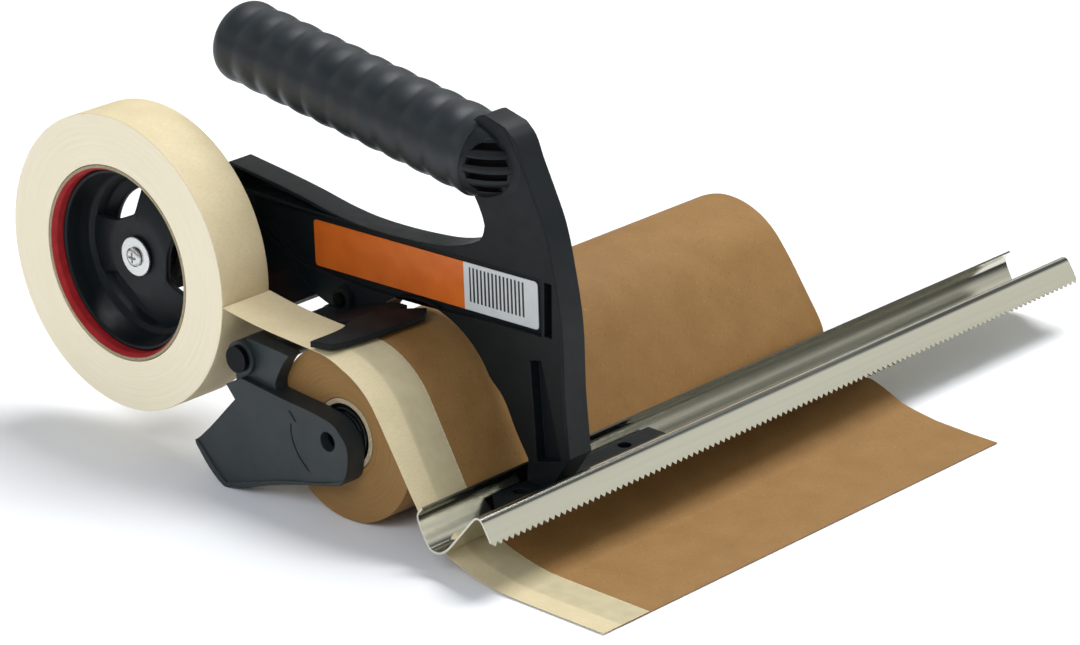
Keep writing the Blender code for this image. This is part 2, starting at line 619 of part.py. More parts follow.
def add_frame(line, grip, plastic):
    """The moulded frame: a flat C with recesses on both sides, the axle boss, the grip's core and the foot."""
    frame = add_piece("frame", prism(frame_outline(), FRAME_NEAR_Y, FRAME_FAR_Y), line, plastic)
    boss = rod(AXLE_BOSS_RADIUS - FIT, AXLE_BOSS_NEAR_Y, FRAME_NEAR_Y + PANEL_DEPTH, SLEEVE_SIDES)
    join(frame, "boss", moved(boss, TAPE_AXLE_X, 0.0, TAPE_AXLE_Z))
    join(frame, "brace", prism(brace_outline(), AXLE_BOSS_NEAR_Y, FRAME_NEAR_Y + PANEL_DEPTH))
    join(frame, "foot", prism(foot_outline(), FOOT_NEAR_Y, FOOT_NEAR_Y + FOOT_LENGTH))
    core = [
        (0, -GRIP_ROOT_FRONT),
        (GRIP_ROOT_RADIUS - GRIP_ROOT_ROUND, -GRIP_ROOT_FRONT),
        (GRIP_ROOT_RADIUS - GRIP_ROOT_ROUND / 4, GRIP_ROOT_ROUND / 2 - GRIP_ROOT_FRONT),
        (GRIP_ROOT_RADIUS, GRIP_ROOT_ROUND - GRIP_ROOT_FRONT),
        (GRIP_ROOT_RADIUS, GRIP_ROOT_REAR),
        (GRIP_CORE_RADIUS, GRIP_ROOT_REAR),
        (GRIP_CORE_RADIUS, GRIP_CORE_END),
        (0, GRIP_CORE_END),
    ]
    join(frame, "grip_core", turned(core, SLEEVE_SIDES), grip)
    vent_boss = rod(VENT_BOSS_RADIUS, FRAME_NEAR_Y - VENT_BOSS_HEIGHT, GRIP_Y, SLEEVE_SIDES)
    join(frame, "vent_boss", moved(vent_boss, VENT_BOSS_X, 0.0, VENT_BOSS_Z))
    near = FRAME_NEAR_Y - OVERRUN
    far = FRAME_FAR_Y + OVERRUN
    cut(frame, "panel", prism(frame_points(PANEL_SHARES), near, FRAME_NEAR_Y + PANEL_DEPTH))
    cut(frame, "rear_recess", prism(frame_points(REAR_RECESS_SHARES), near, FRAME_NEAR_Y + REAR_RECESS_DEPTH))
    cut(frame, "slot", prism(frame_points(SLOT_SHARES), near, FRAME_NEAR_Y + SLOT_DEPTH))
    cut(frame, "post_recess", prism(frame_points(POST_RECESS_SHARES), near, FRAME_NEAR_Y + POST_RECESS_DEPTH))
    pockets = (FAR_ARM_POCKET_SHARES, FAR_MID_POCKET_SHARES, FAR_FRONT_POCKET_SHARES, FAR_POST_POCKET_SHARES)
    for number, shares in enumerate(pockets):
        cut(frame, f"far_pocket_{number}", prism(frame_points(shares), FRAME_FAR_Y - FAR_POCKET_DEPTH, far))
    for number, vent in enumerate(vent_cutters()):
        cut(frame, f"vent_{number}", vent)
    axle_hole = rod(AXLE_RADIUS + FIT, AXLE_BOSS_NEAR_Y - OVERRUN, far)
    cut(frame, "axle_hole", moved(axle_hole, TAPE_AXLE_X, 0.0, TAPE_AXLE_Z))
    cut(frame, "pivot_hole", moved(rod(PIN_RADIUS + FIT, near, far), PIVOT_X, 0.0, PIVOT_Z))
    guide_hole = rod(GUIDE_SCREW_RADIUS + FIT, near, FRAME_NEAR_Y + GUIDE_SCREW_LENGTH)
    cut(frame, "guide_hole", moved(guide_hole, TAB_X, 0.0, TAB_Z))
    for word, along in (("near", BLADE_SCREW_NEAR_Y), ("far", BLADE_SCREW_FAR_Y)):
        shank = upright(rod(BLADE_SCREW_RADIUS + FIT, TROUGH_BOTTOM - OVERRUN, FOOT_TOP + OVERRUN))
        cut(frame, f"foot_hole_{word}", moved(shank, BLADE_SCREW_X, along))
        seat = upright(rod(BLADE_SCREW_HEAD_RADIUS + FIT, screw_seat(), FOOT_TOP + OVERRUN))
        cut(frame, f"foot_seat_{word}", moved(seat, BLADE_SCREW_X, along))


def screw_seat():
    """The height on which the blade screws' heads sit inside the foot."""
    return FOOT_TOP - BLADE_SCREW_SINK - BLADE_SCREW_HEAD


def sleeve_radius(share):
    """The grip's radius: ring-like waves, with a valley where the sleeve starts."""
    return SLEEVE_RADIUS - SLEEVE_WAVE * math.cos(FULL_TURN * SLEEVE_WAVES * share)


def add_sleeve(grip, soft_plastic):
    """The waved sleeve on the grip's core, closed at its free end."""
    start = GRIP_ROOT_REAR + FIT
    length = SLEEVE_END - SLEEVE_ROUND - start
    bore = GRIP_CORE_RADIUS + FIT
    count = round(SLEEVE_WAVES * STEPS_PER_WAVE)
    outer = [(sleeve_radius(step / count), start + length * step / count) for step in range(count + 1)]
    last = outer[-1][0]
    for step in range(1, ARC_STEPS // 2):
        angle = math.radians(90) * step / (ARC_STEPS // 2)
        outer.append((last * math.cos(angle) ** SLEEVE_ROUND_POWER, SLEEVE_END - SLEEVE_ROUND * (1 - math.sin(angle))))
    profile = [(0, GRIP_CORE_END + FIT), (bore, GRIP_CORE_END + FIT), (bore, start)] + outer + [(0, SLEEVE_END)]
    add_piece("grip_sleeve", turned(profile, SLEEVE_SIDES), grip, soft_plastic)


def add_label(line, printed):
    """A thin sticker with rounded corners, flat in the panel and turned a little."""
    half_length = LABEL_LENGTH / 2 - LABEL_CORNER
    half_height = LABEL_HEIGHT / 2 - LABEL_CORNER
    outline = []
    for quarter, (x, z) in enumerate(((1, 1), (-1, 1), (-1, -1), (1, -1))):
        start = math.radians(90) * quarter
        corner = (half_length * x, half_height * z)
        outline += arc(corner, LABEL_CORNER, start, start + math.radians(90), CURVE_STEPS // 4)
    back = FRAME_NEAR_Y + PANEL_DEPTH - FIT
    place = add_line("label_line", LABEL_X, 0.0, LABEL_Z, line)
    place.rotation_euler = (0.0, LABEL_TURN, 0.0)
    add_piece("label", prism(outline, back - LABEL_THICKNESS, back), place, printed)


def hub_opening(turn):
    """One of the openings between the hub's spokes, its sides swept round a little."""
    centre = (0.0, 0.0)
    start = HUB_OPENING_START + turn
    inner = arc(centre, HUB_DISC_RADIUS, start + HUB_OPENING_SWIRL, start + HUB_OPENING_SPAN - HUB_OPENING_SWIRL, 5)
    outer = arc(centre, HUB_OPENING_RADIUS, start + HUB_OPENING_SPAN, start, 8)
    return prism(inner + outer, HUB_WEB_Y - OVERRUN, HUB_WEB_Y + HUB_WEB_THICKNESS + OVERRUN / 2)


def add_hub(line, plastic):
    """The drum inside the tape's core: a stepped wall, a front disc with three spokes, and a sleeve on the axle."""
    rim = TAPE_CORE_BORE - FIT
    near = TAPE_NEAR_Y + HUB_RIM_RECESS
    depth = HUB_BACK_Y - near
    inside = [((rim - HUB_WALL) * reach, near + depth * share) for reach, share in HUB_STEP_SHARES]
    web_back = HUB_WEB_Y + HUB_WEB_THICKNESS
    drum = [(rim, near)] + inside + [(inside[-1][0], HUB_BACK_Y), (rim, HUB_BACK_Y)]
    hub = add_piece("tape_hub", turned(drum, ROLL_SIDES, closed=True), line, plastic)
    join(hub, "web", rod(rim - HUB_WALL / 2, HUB_WEB_Y, web_back, ROLL_SIDES))
    join(hub, "sleeve", rod(HUB_SLEEVE_RADIUS, web_back - HUB_WEB_THICKNESS / 2, HUB_BACK_Y, SHAFT_SIDES))
    for number in range(HUB_OPENINGS):
        cut(hub, f"opening_{number}", hub_opening(FULL_TURN * number / HUB_OPENINGS))
    cut(hub, "bore", rod(AXLE_RADIUS + RUNNING_FIT, HUB_WEB_Y - OVERRUN, HUB_BACK_Y + OVERRUN))


def cross_cutters(face):
    """The two bars of a cross recess in a screw's head, whose face looks toward -Y."""
    half = CROSS_SPAN / 2
    thin = CROSS_WIDTH / 2
    wide = [(-half, -thin), (half, -thin), (half, thin), (-half, thin)]
    tall = [(-thin, -half), (thin, -half), (thin, half), (-thin, half)]
    return [prism(bar, face - OVERRUN, face + CROSS_DEPTH) for bar in (wide, tall)]


def add_screw(name, line, metal, head_radius, radius, face, head, length, crossed=True):
    """A screw along +Y with its head's face at one place, a cross in the head and a plain shank."""
    seat = face + head
    profile = [(0, face), (head_radius, face), (head_radius, seat), (radius, seat), (radius, seat + length)]
    screw = add_piece(name, turned(profile + [(0, seat + length)], SHAFT_SIDES), line, metal)
    if crossed:
        for word, bar in zip(("across", "upright"), cross_cutters(face)):
            cut(screw, word, bar)
    return screw


def add_nut(name, line, metal, hole, start, end):
    """A six-sided nut with a round hole."""
    flats = arc((0.0, 0.0), NUT_RADIUS, 0, FULL_TURN, NUT_SIDES)[:-1]
    nut = add_piece(name, prism(flats, start, end), line, metal)
    cut(nut, "hole", rod(hole, start - OVERRUN, end + OVERRUN))


def add_tape_axle(line, steel, bright, felt):
    """The axle in the frame's boss, its far nut, and the washer, screw and friction ring that hold the hub."""
    near = HUB_WEB_Y - FIT
    far = FRAME_FAR_Y + FIT + NUT_THICKNESS
    axle = add_piece("tape_axle", rod(AXLE_RADIUS, near, far + NUT_THICKNESS / 4), line, steel)
    cut(axle, "tapping", rod(TAPE_SCREW_RADIUS + FIT, near - OVERRUN, near + TAPE_SCREW_LENGTH))
    add_nut("tape_axle_nut", line, steel, AXLE_RADIUS + FIT, FRAME_FAR_Y + FIT, far)
    washer_near = near - FIT - TAPE_WASHER_THICKNESS
    washer = ring(TAPE_SCREW_RADIUS + FIT, TAPE_WASHER_RADIUS, washer_near, near - FIT, ROLL_SIDES)
    add_piece("tape_washer", washer, line, bright)
    face = washer_near - FIT - TAPE_SCREW_HEAD
    add_screw(
        "tape_screw", line, bright, TAPE_SCREW_HEAD_RADIUS, TAPE_SCREW_RADIUS, face, TAPE_SCREW_HEAD, TAPE_SCREW_LENGTH
    )
    drag = ring(AXLE_RADIUS + FIT, DRAG_RING_RADIUS, HUB_BACK_Y + FIT, AXLE_BOSS_NEAR_Y - FIT, ROLL_SIDES)
    add_piece("drag_ring", drag, line, felt)


def add_tape(line, cardboard, tape):
    """The cardboard ring and the tape wound on it."""
    add_piece("tape_core", ring(TAPE_CORE_BORE, TAPE_CORE_RADIUS, TAPE_NEAR_Y, TAPE_FAR_Y), line, cardboard)
    add_piece("tape_roll", ring(TAPE_CORE_RADIUS + FIT, TAPE_RADIUS, TAPE_NEAR_Y, TAPE_FAR_Y), line, tape)


def add_paper(line, cardboard, paper):
    """The cardboard tube and the paper wound on it."""
    add_piece("paper_core", ring(PAPER_CORE_BORE, PAPER_CORE_RADIUS, 0, PAPER_WIDTH), line, cardboard)
    add_piece("paper_roll", ring(PAPER_CORE_RADIUS + FIT, PAPER_RADIUS, 0, PAPER_WIDTH), line, paper)


def from_pivot(points):
    """Points of the datum, counted from the pivot's axis."""
    return [(x - PIVOT_X, z - PIVOT_Z) for x, z in points]


def bridge_outline():
    """The short neck between the plate's upper rear corner and the barrel."""
    corner = swing_points(SWING_SHARES)[1]
    half = SWING_BRIDGE_HALF_WIDTH
    low = corner[1] - 2 * half
    return [(corner[0] - half, low), (corner[0] + half, low), (PIVOT_X + half, PIVOT_Z), (PIVOT_X - half, PIVOT_Z)]


def gusset_outline():
    """The thin wall that fills the corner between the plate's top edge and the barrel, beside the paper roll."""
    return [(PIVOT_X * along, SWING_GUSSET_LOW + SWING_HEIGHT * up) for along, up in SWING_GUSSET_SHARES]


def add_swing_arm(line, plastic):
    """The lever: a flat plate beside the paper roll, and a long barrel on the pivot."""
    plate = from_pivot(swing_points(SWING_SHARES))
    arm = add_piece("swing_arm", prism(plate, SWING_NEAR_Y, SWING_FAR_Y), line, plastic)
    bridge_start = SWING_NEAR_Y + SWING_BRIDGE_NEAR
    join(arm, "bridge", prism(from_pivot(bridge_outline()), bridge_start, bridge_start + SWING_BRIDGE_LENGTH))
    join(arm, "gusset", prism(from_pivot(gusset_outline()), bridge_start, SWING_FAR_Y))
    join(arm, "barrel", rod(BARREL_RADIUS, BARREL_NEAR_Y, FRAME_NEAR_Y - FIT, SLEEVE_SIDES))
    face = from_pivot(swing_points(SWING_FACE_SHARES))
    cut(arm, "face", prism(face, SWING_NEAR_Y - OVERRUN, SWING_NEAR_Y + SWING_RIM_HEIGHT))
    cut(arm, "bore", rod(PIN_RADIUS + RUNNING_FIT, BARREL_NEAR_Y - OVERRUN, FRAME_NEAR_Y + OVERRUN))
    hole = rod(SWING_HOLE_RADIUS, SWING_NEAR_Y - OVERRUN, SWING_NEAR_Y + SPINDLE_SCREW_SINK + SPINDLE_SCREW_HEAD + FIT)
    centre = from_pivot([PAPER_AXIS])[0]
    cut(arm, "hole", moved(hole, centre[0], 0.0, centre[1]))
    shank = rod(SPINDLE_SCREW_RADIUS + FIT, SWING_NEAR_Y, SWING_FAR_Y + OVERRUN)
    cut(arm, "screw_hole", moved(shank, centre[0], 0.0, centre[1]))


def spindle_outline():
    """The spindle's section: a round bar with narrow ribs along it."""
    outer = PAPER_CORE_BORE - RUNNING_FIT
    inner = outer - SPINDLE_RIB_HEIGHT
    pitch = FULL_TURN / SPINDLE_RIBS
    points = []
    for rib in range(SPINDLE_RIBS):
        middle = pitch * rib
        half = pitch * SPINDLE_RIB_SHARE / 2
        points += arc((0.0, 0.0), outer, middle - half, middle + half, 2)
        points += arc((0.0, 0.0), inner, middle + half, middle + pitch - half, 3)
    return points


def add_spindle(line, plastic, steel):
    """The ribbed bar in the paper core, and the screw that holds it on the arm."""
    spindle = add_piece("paper_spindle", prism(spindle_outline(), 0, SPINDLE_LENGTH), line, plastic)
    cut(spindle, "tapping", rod(SPINDLE_SCREW_RADIUS + FIT, -OVERRUN, SPINDLE_TAPPING))
    add_screw(
        "spindle_screw", line, steel, SPINDLE_SCREW_HEAD_RADIUS, SPINDLE_SCREW_RADIUS,
        SWING_NEAR_Y + SPINDLE_SCREW_SINK, SPINDLE_SCREW_HEAD, SPINDLE_SCREW_LENGTH,
    )


def add_pivot(line, steel):
    """The pin through the barrel and the frame's lobe, with a washer and a nut on its far end."""
    head_near = BARREL_NEAR_Y - FIT - PIN_HEAD
    washer_near = FRAME_FAR_Y + FIT
    nut_near = washer_near + PIVOT_WASHER_THICKNESS + FIT
    nut_far = nut_near + NUT_THICKNESS
    profile = [
        (0, head_near), (PIN_HEAD_RADIUS, head_near), (PIN_HEAD_RADIUS, head_near + PIN_HEAD),
        (PIN_RADIUS, head_near + PIN_HEAD), (PIN_RADIUS, nut_far), (0, nut_far),
    ]
    add_piece("pivot_pin", turned(profile, SHAFT_SIDES), line, steel)
    washer = ring(PIN_RADIUS + FIT, PIVOT_WASHER_RADIUS, washer_near, washer_near + PIVOT_WASHER_THICKNESS, SLEEVE_SIDES)
    add_piece("pivot_washer", washer, line, steel)
    add_nut("pivot_nut", line, steel, PIN_RADIUS + FIT, nut_near, nut_far)


def add_guide(line, plastic, steel):
    """The wing that presses the tape on the paper, its sloping neck, and the tab that is screwed to the lobe."""
    wing = [(GUIDE_REAR_X + GUIDE_WIDTH * x, GUIDE_NEAR_Y + GUIDE_LENGTH * y) for x, y in GUIDE_SHARES]
    guide = add_piece("guide", slab(wing, GUIDE_BOTTOM, GUIDE_BOTTOM + GUIDE_THICKNESS), line, plastic)
    top = GUIDE_BOTTOM + GUIDE_THICKNESS - FIT
    neck = [
        (NECK_REAR_X, NECK_REAR_Z - GUIDE_THICKNESS), (GUIDE_REAR_X, GUIDE_BOTTOM - FIT),
        (NECK_FRONT_X, GUIDE_BOTTOM + FIT), (NECK_FRONT_X, top), (GUIDE_REAR_X, top - FIT), (NECK_REAR_X, NECK_REAR_Z),
    ]
    far = FRAME_NEAR_Y - FIT
    join(guide, "neck", prism(neck, NECK_NEAR_Y, far - FIT))
    tab = [(TAB_X + TAB_RADIUS, NECK_REAR_Z - GUIDE_THICKNESS / 2)]
    tab += arc((TAB_X, TAB_Z), TAB_RADIUS, 0, math.radians(180))
    tab += [(TAB_X - TAB_RADIUS / 4, NECK_REAR_Z - GUIDE_THICKNESS / 2)]
    join(guide, "tab", prism(tab, far - TAB_THICKNESS, far))
    hole = rod(GUIDE_SCREW_RADIUS + FIT, far - TAB_THICKNESS - OVERRUN, far + OVERRUN)
    cut(guide, "hole", moved(hole, TAB_X, 0.0, TAB_Z))
    place = add_line("guide_screw_line", TAB_X, 0.0, TAB_Z, line)
    face = far - TAB_THICKNESS - FIT - GUIDE_SCREW_HEAD
    length = TAB_THICKNESS + GUIDE_SCREW_LENGTH
    add_screw(
        "guide_screw", place, steel, GUIDE_SCREW_HEAD_RADIUS, GUIDE_SCREW_RADIUS, face, GUIDE_SCREW_HEAD, length,
        crossed=False,
    )


def add_blade_screws(line, steel):
    """Two upright screws, sunk in the foot, that end flush in the blade's sheet."""
    top = screw_seat() + FIT + BLADE_SCREW_HEAD
    profile = [
        (0, TROUGH_BOTTOM + FIT), (BLADE_SCREW_RADIUS, TROUGH_BOTTOM + FIT), (BLADE_SCREW_RADIUS, screw_seat() + FIT),
        (BLADE_SCREW_HEAD_RADIUS, screw_seat() + FIT), (BLADE_SCREW_HEAD_RADIUS, top), (0, top),
    ]
    for name, along in (("blade_screw_near", BLADE_SCREW_NEAR_Y), ("blade_screw_far", BLADE_SCREW_FAR_Y)):
        place = add_line(f"{name}_line", BLADE_SCREW_X, along, 0.0, line)
        add_piece(name, upright(turned(profile, SHAFT_SIDES)), place, steel)


def main():
    """Lays out the axes and builds every piece on its own."""
    clear_scene()
    black = make_material("black_plastic", "#2A2F32", 0.5)
    soft_black = make_material("soft_black_plastic", "#262B2E", 0.6)
    printed = make_material("printed_film", "#D0651C", 0.4)
    cardboard = make_material("cardboard", "#A5834F", 0.9)
    core_print = make_material("printed_cardboard", "#A02020", 0.7)
    kraft = make_material("kraft_paper", "#9A784A", 0.8)
    cream = make_material("crepe_tape", "#E3D6B2", 0.8)
    felt = make_material("felt", "#5A5A56", 0.95)
    steel = make_material("zinc_steel", "#B8BAB8", 0.35, 1.0)
    bright = make_material("bright_steel", "#D4D6D4", 0.3, 1.0)
    stainless = make_material("stainless_sheet", "#C9C6BA", 0.25, 1.0)

    datum = add_line("datum", -CENTRE_X, -CENTRE_Y, 0.0)
    grip = add_line("grip_line", GRIP_ROOT_X, GRIP_Y, GRIP_ROOT_Z, datum)
    grip.rotation_mode = "QUATERNION"
    turn = Matrix.Rotation(GRIP_TILT, 3, "Y") @ Matrix.Rotation(math.radians(90), 3, "Z")
    grip.rotation_quaternion = turn.to_quaternion()
    tape_line = add_line("tape_line", TAPE_AXLE_X, 0.0, TAPE_AXLE_Z, datum)
    pivot_line = add_line("pivot_line", PIVOT_X, 0.0, PIVOT_Z, datum)
    paper_line = add_line("paper_line", -PIVOT_X, 0.0, PAPER_RADIUS - PIVOT_Z, pivot_line)

    add_frame(datum, grip, black)
    add_sleeve(grip, soft_black)
    add_label(datum, printed)
    add_blade(datum, stainless)
    add_blade_screws(datum, steel)
    add_guide(datum, black, steel)
    add_web(datum, kraft)
    add_strip(datum, cream)
    add_hub(tape_line, black)
    add_tape_axle(tape_line, steel, bright, felt)
    add_tape(tape_line, core_print, cream)
    add_swing_arm(pivot_line, black)
    add_pivot(pivot_line, steel)
    add_spindle(paper_line, black, steel)
    add_paper(paper_line, cardboard, kraft)


main()
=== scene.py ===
# %% [markdown]
# # A masking paper dispenser
# The tool lays masking tape along the edge of brown paper and tears both off on a toothed blade. Its plain solids
# come from the CAD model as a fixed frame. This lesson gives them finishes, and replaces the solids that are soft,
# wound, turned or folded with finer surfaces worked out with numpy.

# %% Load the fixed frame
import bmesh
import bpy
import numpy as np
from mathutils import Matrix, Vector
from mathutils.kdtree import KDTree


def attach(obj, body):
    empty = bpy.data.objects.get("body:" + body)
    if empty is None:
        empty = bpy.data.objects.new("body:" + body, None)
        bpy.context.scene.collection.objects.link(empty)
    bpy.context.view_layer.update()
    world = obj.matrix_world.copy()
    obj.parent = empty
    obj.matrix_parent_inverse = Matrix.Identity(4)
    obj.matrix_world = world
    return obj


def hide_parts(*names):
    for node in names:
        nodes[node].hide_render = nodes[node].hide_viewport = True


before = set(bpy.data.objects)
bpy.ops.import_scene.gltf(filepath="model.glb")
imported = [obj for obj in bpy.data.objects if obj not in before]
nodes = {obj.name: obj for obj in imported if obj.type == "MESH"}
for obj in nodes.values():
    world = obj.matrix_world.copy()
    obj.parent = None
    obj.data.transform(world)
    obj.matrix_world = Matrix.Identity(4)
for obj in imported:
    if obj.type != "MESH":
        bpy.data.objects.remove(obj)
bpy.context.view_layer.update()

# %% [markdown]
# ## One way of counting
# Every size below is in millimetres from the same datum as the CAD model: x = 0 at the paper roll's axis, y = 0 at
# the paper's near edge and z = 0 on the floor. Turns are in radians. Most shapes start as a flat drawing in x and z,
# get their y from one function, and are taken to the world by another.

# %% Sizes that the pieces share, in millimetres
DATUM = np.array([18.15, -168.5, 0.0])
TAPE_AXIS = (-118.2, 79.7)
TAPE_RADIUS, TAPE_CORE_RADIUS, TAPE_CORE_BORE = 61.6, 40.6, 38.1
TAPE_NEAR, TAPE_FAR = -10.0, 15.4
PAPER_AXIS = (0.0, 35.95)
PAPER_RADIUS, PAPER_CORE_RADIUS, PAPER_CORE_BORE = 35.95, 14.65, 12.7
PAPER_WIDTH = 228.6
GAP = 0.3
FULL_TURN = 2 * np.pi


def to_world(points):
    """Datum millimetres to world metres: (point + datum) / 1000."""
    return (np.asarray(points, float) + DATUM) / 1000


def in_space(flat, y):
    """Flat points (x, z) become points (x, y, z)."""
    flat = np.asarray(flat, float)
    return np.stack([flat[..., 0], np.broadcast_to(y, flat.shape[:-1]), flat[..., 1]], axis=-1)


def pairs(first, second):
    """Flat points from their two coordinates, each a number or an array."""
    return np.stack(np.broadcast_arrays(first, second), axis=-1)


def polar(radius, turn, centre=(0.0, 0.0)):
    """Flat points at a radius and a turn: centre + radius (cos turn, sin turn)."""
    return pairs(centre[0] + radius * np.cos(turn), centre[1] + radius * np.sin(turn))


print("paper roll's axis in the world:", to_world(in_space(PAPER_AXIS, 0)))

# %% [markdown]
# ## From grids of points to closed meshes
# A surface is a grid: rows run one way over it, columns the other. Where a surface comes back to its start, the last
# row or column repeats the first, so a pattern can run right round, and the merge closes the seam.

# %% Turn grids into a piece
SHARP = np.radians(38)
MERGE = 2e-6


def grid_quads(rows, columns):
    """One quad for each cell (i, j): the corners (i, j), (i, j+1), (i+1, j+1) and (i+1, j)."""
    corner = np.arange(rows - 1)[:, None] * columns + np.arange(columns - 1)[None, :]
    return np.stack([corner, corner + 1, corner + columns + 1, corner + columns], axis=-1).reshape(-1, 4)


def grid_part(points, pattern=None, value=0.0):
    """A grid's points, quads, pattern coordinates (metres along and across it) and a value for each point."""
    rows, columns = points.shape[:2]
    pattern = np.zeros((rows, columns, 2)) if pattern is None else pattern / 1000
    values = np.broadcast_to(value, (rows, columns)).reshape(-1)
    return points.reshape(-1, 3), grid_quads(rows, columns).tolist(), pattern.reshape(-1, 2), values


def cap_part(loop):
    """A flat lid: one many-sided face over a closed loop of points."""
    return loop, [list(range(len(loop)))], np.zeros((len(loop), 2)), np.zeros(len(loop))


def new_object(name, data):
    """An object in the scene that shows a mesh, a lamp or a camera's lens."""
    item = bpy.data.objects.new(name, data)
    bpy.context.scene.collection.objects.link(item)
    return item


def make_piece(name, parts, body, material, replaced=()):
    """Joins the parts to one mesh, merges what meets, turns the faces outwards and hands the piece to its body."""
    faces, offset = [], 0
    for part in parts:
        faces += [[corner + offset for corner in quad] for quad in part[1]]
        offset += len(part[0])
    points, patterns, values = (np.concatenate([part[index] for part in parts]) for index in (0, 2, 3))
    mesh = bpy.data.meshes.new(name)
    mesh.from_pydata(to_world(points).tolist(), [], faces)
    corners = np.empty(len(mesh.loops), int)
    mesh.loops.foreach_get("vertex_index", corners)
    mesh.uv_layers.new(name="pattern").data.foreach_set("uv", patterns[corners].ravel())
    mesh.attributes.new("shade", "FLOAT", "POINT").data.foreach_set("value", values)
    work = bmesh.new()
    work.from_mesh(mesh)
    bmesh.ops.remove_doubles(work, verts=work.verts, dist=MERGE)
    bmesh.ops.recalc_face_normals(work, faces=work.faces)
    open_edges = sum(edge.is_boundary for edge in work.edges)
    work.to_mesh(mesh)
    work.free()
    mesh.shade_smooth()
    mesh.set_sharp_from_angle(angle=SHARP)
    mesh.materials.append(material)
    piece = new_object(name, mesh)
    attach(piece, body)
    if replaced:
        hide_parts(*replaced)
    print(f"{name}: {len(mesh.polygons)} faces, {open_edges} open edges, rides on {body}")


# %% [markdown]
# ## Curves that the surfaces follow
# A moulded or folded edge is never a knife edge: it has a small radius, and that radius is what catches the light.
# So outlines and profiles get rounded corners before they are swept.

# %% Round, smooth and even out a line
def round_corners(points, reach, steps=4, closed=True):
    """Each corner V becomes (1-s)^2 A + 2s(1-s) V + s^2 B, with A and B up to `reach` before and after V."""
    points = np.asarray(points, float)
    ends = []
    for shift in (1, -1):
        leg = np.roll(points, shift, axis=0) - points
        length = np.linalg.norm(leg, axis=1, keepdims=True)
        ends.append((points + leg / length * np.minimum(reach, 0.45 * length))[:, None])
    s = np.linspace(0, 1, steps + 1)[None, :, None]
    curve = (1 - s) ** 2 * ends[0] + 2 * s * (1 - s) * points[:, None] + s**2 * ends[1]
    curve = curve.reshape(-1, points.shape[1])
    return curve if closed else np.vstack([points[:1], curve[steps + 1 : -steps - 1], points[-1:]])


def closed_profile(corners, reach):
    """A ring's profile with rounded corners, its first point repeated at the end."""
    line = round_corners(corners, reach)
    return np.vstack([line, line[:1]])


def smooth_path(points, steps):
    """A Catmull-Rom curve: each span follows its two ends, and its slope at an end is half the step past that end."""
    points = np.asarray(points, float)
    padded = np.vstack([2 * points[0] - points[1], points, 2 * points[-1] - points[-2]])
    p0, p1, p2, p3 = (padded[shift : len(padded) - 3 + shift, None] for shift in range(4))
    s = (np.arange(steps) / steps)[None, :, None]
    spans = p1 + (p2 - p0) / 2 * s + (p0 - 2.5 * p1 + 2 * p2 - p3 / 2) * s**2
    spans += ((p3 - p0) / 2 + 1.5 * (p1 - p2)) * s**3
    return np.vstack([spans.reshape(-1, points.shape[1]), points[-1:]])


def lengths_along(points):
    """How far each point lies along its line."""
    return np.concatenate([[0], np.cumsum(np.linalg.norm(np.diff(points, axis=0), axis=1))])


def evenly(points, count):
    """The same line with `count` points, each one an equal way from the next."""
    along = lengths_along(points)
    wanted = np.linspace(0, along[-1], count)
    return np.stack([np.interp(wanted, along, points[:, axis]) for axis in range(points.shape[1])], axis=1)


def unit(vectors):
    """Each vector divided by its own length."""
    return vectors / np.linalg.norm(vectors, axis=-1, keepdims=True)


def side_of(points, closed=False):
    """The unit vector to the left of a flat line at each of its points, from the step between its neighbours."""
    around = np.roll(points, -1, axis=0) - np.roll(points, 1, axis=0)
    step = around if closed else np.gradient(points, axis=0)
    return unit(pairs(-step[:, 1], step[:, 0]))


# %% [markdown]
# ## Turned pieces and moulded plates
# A turned piece is a profile carried round an axis. A moulded plate is an outline pushed through its thickness, whose
# two rims are quarter circles. A narrow flat band inside each rim keeps the large flat face shaded flat.

# %% Carry a profile round an axis along Y
def turned_part(profile, axis, sides, value=0.0):
    """Point (turn, n) = axis + radius_n (cos turn, sin turn) in x and z, and y_n. The pattern runs round and along."""
    turn = np.linspace(0, FULL_TURN, sides + 1)
    radius, y = np.asarray(profile, float).T[..., None]
    points = in_space(polar(radius, turn, axis), y)
    pattern = pairs(turn * radius.max(), lengths_along(profile)[:, None])
    return grid_part(points, pattern, np.reshape(value, (-1, 1)))


# %% Push an outline through a thickness
BAND = 1.3


def holed_plate_part(outline, centre, radius, near, far, edge, rings, steps=4):
    """A plate with a round hole. Its rim runs over a flat band, a quarter circle and the wall, and the same way back.
    Each face is blended from the hole to the rim, along rays from the hole's centre."""
    x, z = outline.T
    area = np.sum(x * np.roll(z, -1) - np.roll(x, -1) * z)
    inward = side_of(outline, closed=True) * np.sign(area)
    turn = np.linspace(0, np.pi / 2, steps + 1)
    inset = np.concatenate([[BAND * edge], edge * (1 - np.sin(turn)), edge * (1 - np.cos(turn)), [BAND * edge]])
    depth = np.concatenate([[near], near + edge * (1 - np.cos(turn)), far - edge * (1 - np.sin(turn)), [far]])
    rims = in_space(outline + inward * inset[:, None, None], depth[:, None])
    hole = polar(radius, np.arctan2(rims[0, :, 2] - centre[1], rims[0, :, 0] - centre[0]), centre)
    share = np.linspace(0, 1, rings)[:-1, None, None]
    faces = [in_space(hole + (rim[:, [0, 2]] - hole) * share, rim[0, 1]) for rim in (rims[0], rims[-1])]
    points = np.concatenate([faces[0], rims, faces[1][::-1], faces[0][:1]])
    return grid_part(np.concatenate([points, points[:, :1]], axis=1))


